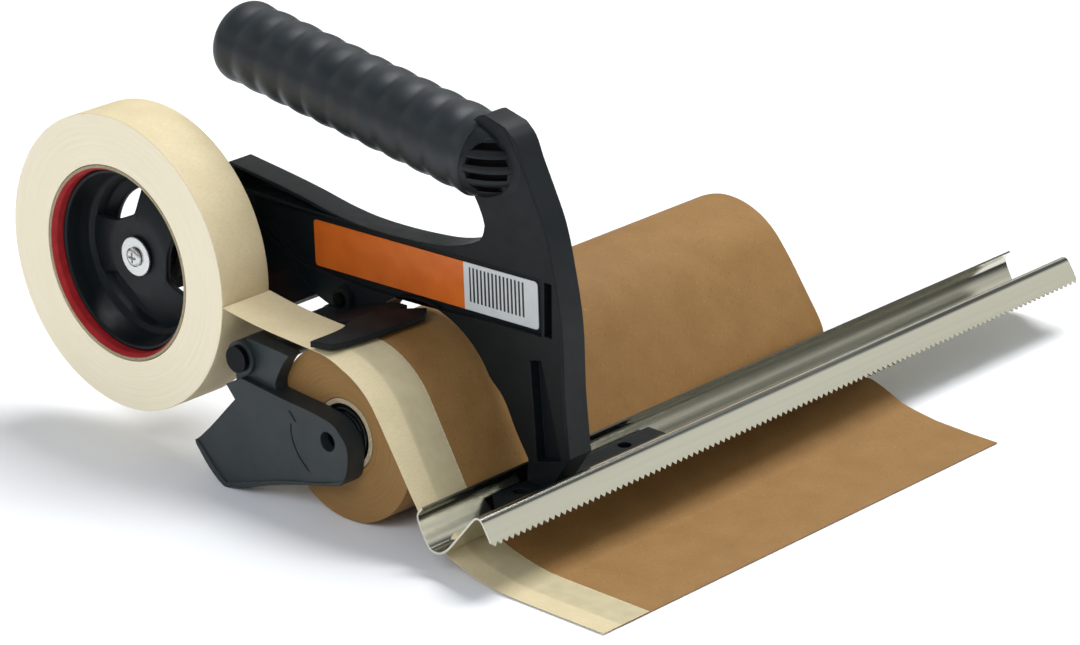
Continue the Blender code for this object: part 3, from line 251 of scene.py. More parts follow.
# %% [markdown]
# ## Rounder copies of CAD solids
# A CAD outline has few points, so a long curve shows flats. The copy keeps every one of those points. On each rim
# that turns only a little at an end, new points are put between, on a curve that leaves each end along its mean
# direction (a Hermite curve). Then the slow turns are shaded smooth, and only real corners stay sharp.

# %% Copy a solid and round out its rims
GENTLE_TURN = np.radians(27)
FLAT_TURN = np.radians(0.4)
SHORTEST_RIM = 0.0012
RIM_STEPS = 4


def is_rim(edge):
    """An edge between two faces that meet at a real corner."""
    return len(edge.link_faces) == 2 and edge.calc_face_angle(0.0) > SHARP


def end_slope(edge, corner):
    """The direction of the rim at one of its ends: the mean with the next edge, if the rim turns little there."""
    ahead = (edge.other_vert(corner).co - corner.co).normalized()
    following = [near for near in corner.link_edges if near is not edge and is_rim(near)]
    if len(following) == 1:
        back = (corner.co - following[0].other_vert(corner).co).normalized()
        if ahead.angle(back, np.pi) < GENTLE_TURN:
            return (ahead + back).normalized()
    return ahead


def round_rims(work):
    """New points at s: h00 A + h10 L a + h01 B - h11 L b, with the usual Hermite weights and L the edge's length."""
    cut, moves = [], []
    for edge in filter(is_rim, work.edges):
        start, end = (corner.co.copy() for corner in edge.verts)
        leave, arrive = (end_slope(edge, corner) for corner in edge.verts)
        length = edge.calc_length()
        if length > SHORTEST_RIM and (leave + arrive).length > 1e-4:
            cut.append(edge)
            for s in (step / RIM_STEPS for step in range(1, RIM_STEPS)):
                curve = (2 * s**3 - 3 * s**2 + 1) * start + (s**3 - 2 * s**2 + s) * length * leave
                curve += (3 * s**2 - 2 * s**3) * end - (s**3 - s**2) * length * arrive
                moves.append((start.lerp(end, s), curve))
    bmesh.ops.subdivide_edges(work, edges=cut, cuts=RIM_STEPS - 1)
    finder = KDTree(len(work.verts))
    work.verts.ensure_lookup_table()
    for corner in work.verts:
        finder.insert(corner.co, corner.index)
    finder.balance()
    for place, curve in moves:
        _, index, distance = finder.find(place)
        if distance < MERGE:
            work.verts[index].co = curve


def rounded_copy(name, node, body, material, edit=None):
    """A CAD solid's copy: merged, its flat faces joined, changed by its own edit if it has one, its rims rounded."""
    work = bmesh.new()
    work.from_mesh(nodes[node].data)
    bmesh.ops.remove_doubles(work, verts=work.verts, dist=0.000005)
    bmesh.ops.dissolve_limit(work, angle_limit=FLAT_TURN, verts=work.verts, edges=work.edges)
    if edit:
        edit(work)
    round_rims(work)
    points = np.array([corner.co for corner in work.verts]) * 1000 - DATUM
    faces = [[corner.index for corner in face.verts] for face in work.faces]
    work.free()
    parts = [(points, faces, points[:, [0, 2]] / 1000, np.zeros(len(points)))]
    make_piece(name, parts, body, material, [node])


# %% [markdown]
# ## Finishes
# Colours are written as a screen shows them and turned to linear light by one function. Another adds a node with its
# settings and its links, and finds the node tree by what it belongs to, its id_data. Patterns read Object
# coordinates, or the piece's own map where they follow a wound or curved surface. A piece's shade value, 0 or 1, says
# where its second look starts.

# %% Colours and nodes
def colour(code):
    """sRGB to linear: c / 12.92 below 0.04045, and ((c + 0.055) / 1.055)^2.4 above it."""
    parts = np.array([int(code[place : place + 2], 16) / 255 for place in (1, 3, 5)])
    light = np.where(parts <= 0.04045, parts / 12.92, ((parts + 0.055) / 1.055) ** 2.4)
    return (*light, 1.0)


def toned(code, share):
    """A lighter or darker colour: each linear part times the share."""
    return [share * part for part in colour(code)[:3]] + [1]


def fill(node, inputs):
    """Gives each input its number, its colour code, or a link from another node."""
    for key, value in inputs.items():
        if isinstance(value, bpy.types.NodeSocket):
            node.id_data.links.new(value, node.inputs[key])
        else:
            node.inputs[key].default_value = colour(value) if isinstance(value, str) else value


def add(tree, kind, inputs=None, **settings):
    """Adds a node, gives it its settings and fills its inputs."""
    node = tree.nodes.new(f"ShaderNode{kind}")
    for name, setting in settings.items():
        setattr(node, name, setting)
    fill(node, inputs or {})
    return node


def new_finish(name, own_map=False):
    """A material, its shader and the places that its patterns read: Object coordinates, or the piece's own map."""
    material = bpy.data.materials.new(name)
    material.use_nodes = True
    tree = material.node_tree
    place = add(tree, "UVMap", uv_map="pattern").outputs[0] if own_map else add(tree, "TexCoord").outputs["Object"]
    return material, tree.nodes["Principled BSDF"], place


def calculated(operation, *values):
    """One step of arithmetic on a link and other links or numbers."""
    return add(values[0].id_data, "Math", dict(enumerate(values)), operation=operation).outputs[0]


def shade_value(shader):
    """The value that the piece's own points carry."""
    return add(shader.id_data, "Attribute", attribute_name="shade").outputs["Fac"]


def noise(coordinates, size_mm, detail, stretch=(1, 1, 1)):
    """Noise whose grain is `size_mm` wide, drawn out along an axis by its stretch."""
    scale = [1000 / (size_mm * factor) for factor in stretch]
    tree = coordinates.id_data
    placed = add(tree, "Mapping", {"Vector": coordinates, "Scale": scale}).outputs[0]
    return add(tree, "TexNoise", {"Vector": placed, "Scale": 1.0, "Detail": detail}).outputs["Fac"]


def spread(value, low=0.3, high=0.7, out_low=0.0, out_high=1.0):
    """Takes low..high to out_low..out_high and cuts off what lies beyond. Most of a noise lies in 0.3..0.7."""
    return add(value.id_data, "MapRange", {"Value": value, 1: low, 2: high, 3: out_low, 4: out_high}).outputs["Result"]


def mixed(factor, first, second):
    """Two colours mixed by a factor."""
    return add(factor.id_data, "Mix", {0: factor, 6: first, 7: second}, data_type="RGBA").outputs[2]


def relief(shader, height, depth_mm, strength, edge_mm=0.0):
    """Bump of a real depth in millimetres. With an edge, corners of a CAD solid are shaded as if they were rounded."""
    inputs = {"Height": height, "Distance": depth_mm / 1000, "Strength": strength}
    if edge_mm:
        inputs["Normal"] = add(shader.id_data, "Bevel", {"Radius": edge_mm / 1000}, samples=6).outputs[0]
    fill(shader, {"Normal": add(shader.id_data, "Bump", inputs).outputs[0]})


# %% [markdown]
# ### Moulded black plastic
# The frame, the lever and the guide are nylon filled with carbon black, moulded in a spark-eroded tool. The tool
# leaves a fine even grain, so the plastic has a soft sheen and no mirror image. The grain is drawn about 0.5 mm wide,
# wider than the real one, because a finer one would not show.

# %% Black plastics
def black_plastic(name, code, rough, gloss=0.5, grain_mm=0.5, depth_mm=0.02, edge_mm=0.7):
    """Carbon-black plastic: a near-black base, a slightly uneven sheen, a fine grain. Shade 1 is painted deep shade.
    """
    material, shader, place = new_finish(name)
    base = mixed(spread(noise(place, 18, 3.0), 0.35, 0.65), code, toned(code, 1.25))
    # Painted shade: where shade is 1, the base is mixed to near-black #020202 and the roughness rises by 0.5.
    shade = shade_value(shader)
    sheen = spread(noise(place, 6, 4.0), out_low=rough - 0.05, out_high=rough + 0.06)
    fill(shader, {
        "Base Color": mixed(shade, base, "#020202"),
        "Roughness": calculated("MULTIPLY_ADD", shade, 0.5, sheen),
        "IOR": 1.5,
        "Specular IOR Level": gloss,
    })
    relief(shader, noise(place, grain_mm, 3.0), depth_mm, 0.5, edge_mm)
    return material


moulded_nylon = black_plastic("moulded_black_nylon", "#121719", 0.47, 0.24)
plain_nylon = black_plastic("moulded_black_nylon_plain", "#121719", 0.47, 0.3, depth_mm=0.01, edge_mm=0.0)
guide_nylon = black_plastic("matt_black_nylon", "#101416", 0.62, 0.22)
lever_nylon = black_plastic("moulded_black_nylon_lever", "#232A2C", 0.50, 0.45)
grip_vinyl = black_plastic("soft_black_vinyl", "#1A2024", 0.45, grain_mm=0.8, edge_mm=0.0)
collar_nylon = black_plastic("polished_black_nylon", "#101314", 0.26, depth_mm=0.006)
# Painted shade: a near-black plastic for beads that stand in for the shade inside a groove and a sunk mark.
painted_groove_shade = black_plastic("painted_shade_black_nylon", "#060708", 0.6, depth_mm=0.01, edge_mm=0.0)
print("black plastics:", moulded_nylon.name, lever_nylon.name, grip_vinyl.name)

# %% [markdown]
# ### Kraft paper
# Unbleached brown paper: long wood fibres that lie mostly along the way it was made, a few dark and light specks,
# and no gloss. On the roll's two ends the layers show as fine rings.

# %% Kraft paper on the sheet and on the roll
def kraft_paper(name, rings=False):
    """Brown paper: soft clouds, fibres drawn out along the pattern, specks, and on a roll's end its layers."""
    material, shader, place = new_finish(name, own_map=True)
    base = mixed(spread(noise(place, 14, 4.0)), "#8E6A3B", "#997444")
    height = fibres = noise(place, 0.45, 2.0, (6, 1, 1))
    base = mixed(spread(fibres, 0.35, 0.7, 0, 0.5), base, "#835F35")
    base = mixed(spread(noise(place, 1.1, 1.0), 0.70, 0.76, 0, 0.45), base, "#BF9C6C")
    dark = spread(noise(place, 0.9, 0.0, (1.4, 1, 1)), 0.24, 0.20, 0, 0.5)
    base = mixed(dark, base, "#5E421F")
    if rings:
        side = shade_value(shader)
        layers = noise(place, 0.5, 3.0, (60, 1, 1))
        base = mixed(side, base, mixed(spread(layers, 0.25, 0.75), "#876539", "#977344"))
        height = mixed(side, fibres, layers)
    fill(shader, {"Base Color": base, "Roughness": 0.72, "Specular IOR Level": 0.35})
    relief(shader, height, 0.03, 0.6)
    return material


kraft_sheet = kraft_paper("kraft_paper_sheet")
kraft_roll = kraft_paper("kraft_paper_wound", rings=True)
print("brown papers:", kraft_sheet.name, kraft_roll.name)

# %% [markdown]
# ### Crepe tape
# Masking tape is paper that is creped: pushed into tiny folds across its length, so that it can stretch round bends.
# The folds run across the tape. On the roll's side its layers show as faint rings. Where the tape lies on brown
# paper, the paper shows through and makes it greyer.

# %% Crepe tape on the roll and on the strip
def crepe_tape(name, wound):
    """Cream crepe paper. Its second look is the layers on a roll's side, or brown paper that shows through."""
    material, shader, place = new_finish(name, own_map=True)
    shade = shade_value(shader)
    cream = mixed(spread(noise(place, 12, 3.0)), "#D2C39C", "#DACBA6")
    height = folds = noise(place, 0.55, 3.0, (1, 5, 1))
    cream = mixed(spread(folds, 0.35, 0.7, 0, 0.35), cream, "#BFAE86")
    if wound:
        layers = noise(place, 0.6, 3.0, (80, 1, 1))
        second = mixed(spread(layers), "#F1E4C5", "#F6EBD0")
        height = mixed(shade, folds, layers)
    else:
        second = mixed(spread(noise(place, 7, 3.0)), "#B8AC89", "#C4B895")
    base = mixed(shade, cream, second)
    fill(shader, {"Base Color": base, "Roughness": 0.62, "Specular IOR Level": 0.35})
    relief(shader, height, 0.04, 0.5)
    return material


tape_wound = crepe_tape("crepe_tape_wound", True)
tape_laid = crepe_tape("crepe_tape_laid", False)
print("tapes:", tape_wound.name, tape_laid.name)

# %% [markdown]
# ### Board, film and felt
# The two tubes are wound from grey-brown board. The tape's ring is printed a plain red inside. The label is printed
# film: a bare orange part, and a white part with plain bars, all of one width. The friction ring is felt.

# %% Board and felt
def board(name, code, printed=False):
    """Wound board: mottled fibre. Where shade is 1, printed board shows its plain red."""
    material, shader, place = new_finish(name)
    fibre = noise(place, 1.0, 3.0)
    base = mixed(spread(fibre), toned(code, 0.7), code)
    if printed:
        red = mixed(spread(noise(place, 4, 3.0)), "#9E1B20", "#B3262A")
        base = mixed(spread(shade_value(shader), 0.4, 0.6), base, red)
    fill(shader, {"Base Color": base, "Roughness": 0.7})
    relief(shader, fibre, 0.05, 0.5)
    return material


plain_board = board("wound_grey_board", "#B9A888")
red_board = board("wound_board_red_print", "#A89878", printed=True)
felt, shader, place = new_finish("pressed_wool_felt")
hairs = noise(place, 0.5, 4.0, (1, 3, 1))
fill(shader, {"Base Color": mixed(hairs, "#45453F", "#7C7B73"), "Roughness": 0.95})
relief(shader, hairs, 0.2, 0.8)
print("board and felt:", plain_board.name, red_board.name, felt.name)

# %% The label's print, in millimetres from its centre
LABEL_CENTRE, LABEL_TURN = (0.6, 90.2), np.radians(-1.9)
WHITE_FROM, WHITE_SOFT = 21.7, 0.15
BAR_STEP, BAR_FROM, BAR_FULL = 1.0, 0.46, 0.52
BAR_LIMITS = (("X", 24.6, 24.7), ("X", 53.6, 53.5), ("Z", -6.2, -6.1), ("Z", 8.1, 8.0))
printed_film, shader, place = new_finish("printed_label_film")
tree = shader.id_data
centre = to_world(in_space(LABEL_CENTRE, 0))
shifted = add(tree, "VectorMath", {0: place, 1: centre}, operation="SUBTRACT").outputs[0]
turned = add(tree, "VectorRotate", {"Vector": shifted, "Angle": -LABEL_TURN}, rotation_type="Y_AXIS").outputs[0]
axes = add(tree, "SeparateXYZ", {0: turned}).outputs
white = spread(axes["X"], WHITE_FROM / 1000, (WHITE_FROM + WHITE_SOFT) / 1000)
bars = spread(calculated("PINGPONG", axes["X"], BAR_STEP / 1000), BAR_FROM / 1000, BAR_FULL / 1000)
for axis, outside, within in BAR_LIMITS:
    bars = calculated("MULTIPLY", bars, spread(axes[axis], outside / 1000, within / 1000))
ink = spread(noise(place, 9, 3.0))
orange = mixed(ink, "#CC6019", "#D86C22")
paper_white = mixed(ink, "#C6CACA", "#D0D3D2")
print_colour = mixed(bars, mixed(white, orange, paper_white), "#2A2C2E")
fill(shader, {"Base Color": print_colour, "Roughness": 0.38, "Coat Weight": 0.25})
relief(shader, noise(place, 2.5, 2.0), 0.01, 0.4)
print("label print:", printed_film.name)

# %% [markdown]
# ### Metals
# The blade is bright rolled stainless sheet: it mirrors its surroundings in long soft streaks, because rolling leaves
# fine lines along the sheet. The screws and pins are zinc plated or blackened, with a fine crystalline mottling.

# %% Metals
def metal(name, code, rough, line_mm, depth_mm=0.0, edge_mm=0.0, stretch=(1, 1, 1), uneven=0.06):
    """A metal whose roughness varies in lines drawn out along one axis, and its height too if it has a depth."""
    material, shader, place = new_finish(name)
    lines = noise(place, line_mm, 4.0, stretch)
    smear = spread(noise(place, 22, 3.0, stretch))
    fill(shader, {
        "Roughness": spread(lines, out_low=rough - uneven, out_high=rough + uneven),
        "Base Color": mixed(smear, toned(code, 0.92), code),
        "Metallic": 1.0,
    })
    if depth_mm:
        relief(shader, lines, depth_mm, 0.5, edge_mm)
    return material


stainless = metal("rolled_stainless_sheet", "#CCCABC", 0.18, 1.4, stretch=(1, 90, 1), uneven=0.035)
black_steel = metal("black_oxide_steel", "#1E2022", 0.42, 0.8, 0.006, 0.3)
zinc = metal("zinc_plated_steel", "#B4B8BA", 0.36, 0.8, 0.006, 0.3)
bright = metal("bright_nickel_steel", "#DADCDA", 0.30, 0.9, 0.004, 0.25)
print("metals:", stainless.name, black_steel.name, zinc.name, bright.name)

# %% [markdown]
# ## The CAD solids that stay
# Their shapes are right, so they only get their finish.

# %% Finish the CAD nodes
finishes = {
    printed_film: ("label",),
    zinc: ("tape_axle", "tape_axle_nut", "pivot_washer", "pivot_nut"),
    black_steel: ("pivot_pin", "guide_screw", "spindle_screw", "blade_screw_near", "blade_screw_far"),
    felt: ("drag_ring",),
}
for material, names in finishes.items():
    for name in names:
        nodes[name].data.materials.clear()
        nodes[name].data.materials.append(material)
    print(material.name, "on", ", ".join(names))

# %% [markdown]
# ## The moulded parts
# The frame, the guide, the lever and the ribbed spindle are copies with rounder rims. The tube that carries the grip
# ends on the frame in a dome, and that end is made anew: the CAD model's plain boss and slots are taken out of the
# copy, and a flat lid closes the hole.

# %% Frame, guide and lever
FRAME_NEAR = 42.0
BOSS = (43.5, 144.8)
LID_RADIUS, BOSS_REACH, SLOT_REACH, SLOTS_FROM_X = 13.0, 13.5, 17.5, 29.9


def without_boss(work):
    """Takes away the CAD model's plain slotted boss and the slots in the tube: a dome takes their place."""
    inside = set()
    for corner in work.verts:
        x, y, z = np.array(corner.co) * 1000 - DATUM
        reach = np.hypot(x - BOSS[0], z - BOSS[1])
        on_boss = reach < BOSS_REACH and y < FRAME_NEAR + 0.6
        if on_boss or (reach < SLOT_REACH and x > SLOTS_FROM_X and y < FRAME_NEAR - 0.1):
            inside.add(corner)
    gone = [face for face in work.faces if inside.issuperset(face.verts)]
    bmesh.ops.delete(work, geom=gone, context="FACES")


rounded_copy("frame_moulded", "frame", "tool", moulded_nylon, without_boss)
rounded_copy("guide_moulded", "guide", "tool", guide_nylon)
rounded_copy("lever_moulded", "swing_arm", "arm", lever_nylon)

# %% The grip's line, and the tube round it
GRIP_ROOT, GRIP_TILT = np.array([28.0, 48.0, 145.6]), np.radians(7.7)
REARWARD = np.array([-np.cos(GRIP_TILT), 0, np.sin(GRIP_TILT)])
UPWARD = np.array([np.sin(GRIP_TILT), 0, np.cos(GRIP_TILT)])
AWAY = np.array([0, 1.0, 0])
TUBE_RADIUS, TUBE_START, TUBE_TIP_RADIUS = 16.1, 16.2, 0.02
DOME_START, DOME_LENGTH = -1.0, 23.0
SLEEVE_END, SLEEVE_ROOM = -3.6, 0.5


def round_grip(along, radius, turn):
    """Points round the grip's line: root + along rearward + radius (cos turn away + sin turn upward)."""
    away, upward = (radius * np.cos(turn))[..., None] * AWAY, (radius * np.sin(turn))[..., None] * UPWARD
    return GRIP_ROOT + along[..., None] * REARWARD + away + upward


def tube_radius(along):
    """The tube's radius, which falls off as an ellipse over the dome: R sqrt(1 - ((start - along) / length)^2)."""
    past = np.clip((DOME_START - along) / DOME_LENGTH, 0, 1)
    return TUBE_RADIUS * np.sqrt(1 - past**2)


def dome_y(x, z):
    """How far the tube's near side stands at (x, z): the axis less the half chord at that height."""
    from_root = pairs(x, z) - GRIP_ROOT[[0, 2]]
    along, height = from_root @ REARWARD[[0, 2]], from_root @ UPWARD[[0, 2]]
    return GRIP_ROOT[1] - np.sqrt(np.clip(tube_radius(along) ** 2 - height**2, 0, None))


print("the grip's line starts at:", to_world(GRIP_ROOT))

# %% The domed end of the tube, open under the grille
GRILLE, GRILLE_HALF = np.array([42.3, 144.9]), np.array([8.6, 11.8])
PLATE_FROM, PLATE_MIDDLE = -6.0, 53.0
over_dome = DOME_START - DOME_LENGTH * np.sin(np.linspace(0.03, np.pi / 2, 44))
along = np.concatenate([np.linspace(TUBE_START, DOME_START, 20), over_dome])[:, None]
turn = np.linspace(0, FULL_TURN, 161)
radius = np.maximum(tube_radius(along), TUBE_TIP_RADIUS) - SLEEVE_ROOM * (along > SLEEVE_END)
tube = round_grip(along, radius, turn)
tube[..., 1] = np.where(along < PLATE_FROM, np.minimum(tube[..., 1], PLATE_MIDDLE), tube[..., 1])
points, quads, pattern, values = grid_part(tube)
share = np.linalg.norm((points[:, [0, 2]] - GRILLE) / GRILLE_HALF, axis=1)
under_grille = (share < 0.97) & (points[:, 1] < GRIP_ROOT[1])
quads = [quad for quad in quads if not under_grille[quad].all()]
lid = in_space(polar(LID_RADIUS, turn[:-1], BOSS), FRAME_NEAR + 0.05)
make_piece("grip_root_dome", [(points, quads, pattern, values), cap_part(lid)], "tool", plain_nylon)

# %% [markdown]
# ## The grille
# Four level slots are cut in the dome. They are a patch of their own, whose rows follow the slots' edges, so that the
# edges are crisp. Inside the slots every point carries shade 1, so their walls and floor get painted deep shade.

# %% Four level slots in the dome
SLOT_MIDDLE_SHARES = np.array([-0.70, -0.23, 0.25, 0.72])
SLOT_HALF, SLOT_DEPTH, SLOT_END_SHARE = 1.35, 3.0, 0.847
BAR_CROWN, RIM_ROUND, RIM_SHARE, PROUD = 0.35, 0.5, 0.07, 0.3
half_width, half_height = GRILLE_HALF
slot_edges = (half_height * SLOT_MIDDLE_SHARES[:, None] + SLOT_HALF * np.array([-1, 1])).ravel()
bar_ends = np.concatenate([[-0.995 * half_height], slot_edges, [0.995 * half_height]]).reshape(-1, 2)
rows = []
for low, high in bar_ends:
    rows += [(low + (high - low) * share, 0.0, 0.0, (2 * share - 1) ** 2) for share in np.linspace(0, 1, 7)]
for low, high in slot_edges.reshape(-1, 2):
    for dip, step in ((0.15, 0.01), (1.0, 0.03)):
        rows += [(low + step, dip, 1.0, 1 - dip), (high - step, dip, 1.0, 1 - dip)]
heights, in_slot, slot_shade, crown = np.array(sorted(rows)).T[..., None]
chord = np.sqrt(1 - (heights / half_height) ** 2)
across = np.sort(np.concatenate([np.linspace(-1, 1, 51), [-0.85, -0.845, 0.845, 0.85]]))
x = GRILLE[0] + half_width * chord * across
z = GRILLE[1] + heights + 0 * x
from_rim = 1 - np.hypot(chord * across, heights / half_height)
rounded_rim = RIM_ROUND * np.clip(1 - from_rim / RIM_SHARE, 0, 1) ** 2
# Painted shade: the slots' walls and floor carry shade 1, which the finish paints near-black.
slot_shade = slot_shade * (np.abs(across) < SLOT_END_SHARE)
slot_dip = SLOT_DEPTH * in_slot * (slot_shade > 0)
y = np.minimum(dome_y(x, z), FRAME_NEAR + 0.4) - PROUD
y = y + np.maximum(np.maximum(rounded_rim, BAR_CROWN * crown), slot_dip)
grille = grid_part(np.stack([x, y, z], axis=-1), value=slot_shade)
make_piece("grip_root_grille", [grille], "tool", plain_nylon)

# %% [markdown]
# ## A line on the post and a mark on the lever
# A moulding shows a thin groove where the two halves of its tool met, and the lever carries a plain curved mark sunk
# in its face. The shade in both is painted: they are thin near-black beads, half sunk in the surface.

# %% Parting line and curved mark, as beads
def bead_part(path, radius, sides=8, taper=16):
    """A thin round bead along a path in space, tapered to nothing over a sixteenth of its length at each end."""
    step = unit(np.gradient(path, axis=0))
    aside = unit(np.cross(step, AWAY))
    above = np.cross(step, aside)
    turn = np.linspace(0, FULL_TURN, sides + 1)[None, :, None]
    share = np.linspace(0, 1, len(path))
    size = radius * np.clip(np.minimum(share, 1 - share) * taper, 0.02, 1)[:, None, None]
    return grid_part(path[:, None] + size * (np.cos(turn) * aside[:, None] + np.sin(turn) * above[:, None]))


LEVER_FACE = -9.55
post_front = smooth_path(
    [(36.4, 162.9), (46.6, 160.2), (54.9, 148.0), (66.3, 125.0), (71.3, 106.3), (74.7, 87.0), (76.0, 58.8),
     (78.2, 36.0)], 10
)
# The parting line's groove, its shade painted as a near-black bead.
parting = bead_part(in_space(post_front, FRAME_NEAR + 0.1), 0.32)
make_piece("post_parting_line", [parting], "tool", painted_groove_shade)
arrow_shaft = smooth_path([(-20.1, 38.4), (-20.3, 34.6), (-19.3, 30.6), (-16.1, 25.2), (-9.7, 19.4)], 10)
arrow_head = smooth_path([(-21.2, 43.2), (-19.4, 41.4), (-17.3, 39.2)], 6)
# The lever's sunk mark, its shade painted as near-black beads.
marks = [bead_part(in_space(line, LEVER_FACE), 0.4) for line in (arrow_shaft, arrow_head)]
make_piece("lever_arrow_mark", marks, "arm", painted_groove_shade)

# %% The spindle with its stepped collar
def sunk_front(work):
    """Sets the ribbed bar's near end back to y = 3.2, which makes room for the collar."""
    before, back = to_world([(0, 1.0, 0), (0, 3.2, 0)])[:, 1]
    for corner in work.verts:
        if corner.co.y < before:
            corner.co.y = back


rounded_copy("spindle_ribbed", "paper_spindle", "arm", moulded_nylon, sunk_front)
collar = closed_profile(
    [(2.2, 0.5), (8.4, 0.5), (8.9, 1.9), (9.7, 1.9), (10.1, 0.3), (10.9, 0.3), (11.3, 2.2), (11.8, 2.2), (12.1, 0.9),
     (12.4, 0.9), (12.4, 3.1), (2.2, 3.1)], 0.2
)
make_piece("spindle_collar", [turned_part(collar, PAPER_AXIS, 120)], "arm", collar_nylon)

# %% [markdown]
# ## The tape roll
# Wound tape is a fat ring. Its side isn't quite flat, because each layer lies a hair in or out of the last one, and
# its rims are only slightly worn. The profile is turned once round the axle.

# %% Wind the tape
WORN = 0.4
side_radii = np.linspace(TAPE_CORE_RADIUS + GAP, TAPE_RADIUS - WORN - 0.05, 26)
side_ripple = 0.05 * np.sin(side_radii * 2.1) + 0.03 * np.sin(side_radii * 5.3)
near_side = pairs(side_radii, TAPE_NEAR + 0.08 + side_ripple)
far_side = pairs(side_radii, TAPE_FAR - 0.08 + side_ripple)[::-1]
turn = np.linspace(0, np.pi / 2, 5)
rim = pairs(TAPE_RADIUS - WORN + WORN * np.sin(turn), TAPE_NEAR + WORN * (1 - np.cos(turn)) + 0.05)
far_rim = pairs(rim[:, 0], TAPE_FAR + TAPE_NEAR - rim[:, 1])[::-1]
width_steps = np.linspace(rim[-1, 1], far_rim[0, 1], 12)[1:-1]
outside = pairs(TAPE_RADIUS, width_steps)
tape_profile = np.vstack([near_side, rim, outside, far_rim, far_side, near_side[:1]])
on_side = np.ones(len(tape_profile))
on_side[len(near_side) + 2 : -len(far_side) - 3] = 0
tape_ring = turned_part(tape_profile, TAPE_AXIS, 240, on_side)
make_piece("tape_roll_wound", [tape_ring], "tape", tape_wound, ["tape_roll"])

# %% The tape's board ring, with its plain red inside
core_profile = closed_profile(
    [(TAPE_CORE_BORE, TAPE_NEAR + 2.2), (TAPE_CORE_RADIUS - 1.2, TAPE_NEAR), (TAPE_CORE_RADIUS, TAPE_NEAR),
     (TAPE_CORE_RADIUS, TAPE_FAR), (TAPE_CORE_BORE, TAPE_FAR)], 0.25
)
core_inside = core_profile[:, 0] < TAPE_CORE_RADIUS - 1.3
tape_core = turned_part(core_profile, TAPE_AXIS, 180, core_inside.astype(float))
make_piece("tape_core_board", [tape_core], "tape", red_board, ["tape_core"])

# %% [markdown]
# ## The hub
# The hub is a stepped drum that the board ring is pushed over. In its front sits a flat disc on three swept spokes.
# Disc and spokes are one outline: its radius jumps out to the drum where an opening ends, and comes back along a
# spiral. Beyond the disc, the spokes slope back into the drum.

# %% Drum, spider and sleeve
HUB_RIM = TAPE_CORE_BORE - GAP
HUB_NEAR, HUB_FAR = -5.0, 15.4
AXLE_HOLE, DISC_RADIUS, SLOPE_LENGTH, SLOPE_DEPTH = 4.4, 16.0, 16.6, 5.4
drum = closed_profile(
    [(HUB_RIM, HUB_NEAR), (HUB_RIM - 1.9, HUB_NEAR), (35.4, 1.6), (34.2, 6.4), (31.6, 7.2), (31.0, 11.6), (25.6, 13.0),
     (25.6, HUB_FAR), (HUB_RIM, HUB_FAR)], 0.9
)
spoke_line = [(32.6, 0), (17.4, 5), (16.6, 14), (16.4, 32), (17.6, 46), (20.6, 57), (25.5, 66), (32.6, 74), (32.6, 97)]
spoke_radius, spoke_turn = np.array(spoke_line).T
outline = np.vstack([polar(spoke_radius, np.radians(opening + spoke_turn)) for opening in (90, 210, 330)])
spider = holed_plate_part(round_corners(outline, 4.0, 6) + TAPE_AXIS, TAPE_AXIS, AXLE_HOLE, 2.0, 4.5, 0.5, 20)
from_axis = np.linalg.norm(spider[0][:, [0, 2]] - TAPE_AXIS, axis=1)
spider[0][:, 1] += SLOPE_DEPTH * np.clip((from_axis - DISC_RADIUS) / SLOPE_LENGTH, 0, 1) ** 1.3
sleeve = closed_profile([(AXLE_HOLE, 3.6), (8.5, 3.6), (8.5, HUB_FAR), (AXLE_HOLE, HUB_FAR)], 0.3)
hub = [turned_part(drum, TAPE_AXIS, 180), spider, turned_part(sleeve, TAPE_AXIS, 64)]
make_piece("tape_hub_moulded", hub, "tape", moulded_nylon, ["tape_hub"])

# %% [markdown]
# ## Washer and screw in front of the hub
# The washer is stamped, so its rim is softly rounded. The screw's head is a low dome with a cross pressed into it:
# the cross is a dip in the same grid, not a separate cut.

# %% Washer and cross-headed screw
washer = closed_profile([(2.3, 0.1), (8.25, 0.1), (8.25, 1.4), (2.3, 1.4)], 0.45)
make_piece("tape_washer_stamped", [turned_part(washer, TAPE_AXIS, 96)], "tool", bright, ["tape_washer"])
HEAD_FACE, HEAD_RADIUS, HEAD_HEIGHT = -1.7, 4.0, 1.5
CROSS_REACH, CROSS_HALF = 1.9, 0.32


def cross_arm(across, along):
    """One bar of the cross: 1 within its half width and its reach, with soft slopes to 0."""
    inside = np.clip((CROSS_HALF - np.abs(across)) / 0.14 + 1, 0, 1)
    return inside * np.clip((CROSS_REACH - np.abs(along)) / 0.3 + 1, 0, 1)


def screw_head(sides=72, rings=26):
    """A domed head: the dome falls off as (r / radius)^4, and the cross is a smooth dip of two bars."""
    share = np.linspace(0, 1, rings)[:, None] ** 0.8
    flat = polar(HEAD_RADIUS * share, np.linspace(0, FULL_TURN, sides + 1))
    x, z = flat[..., 0], flat[..., 1]
    dip = 0.55 * share**4 + 0.75 * np.maximum(cross_arm(x, z), cross_arm(z, x))
    return grid_part(in_space(flat + TAPE_AXIS, HEAD_FACE + HEAD_HEIGHT * dip))


shank = [(HEAD_RADIUS, HEAD_FACE + 0.82), (HEAD_RADIUS, -0.2), (2.0, -0.2), (2.0, 12.0), (0.0, 12.0)]
screw = [screw_head(), turned_part(shank, TAPE_AXIS, 72)]
make_piece("tape_screw_crosshead", screw, "tool", bright, ["tape_screw"])

# %% [markdown]
# ## The grip
# The sleeve is soft vinyl with ring-like waves for the fingers, pulled over the tube right up to the post. Broad
# crests and narrow valleys come from the absolute value of a sine, softened a little. Its free end is a rounded dome.

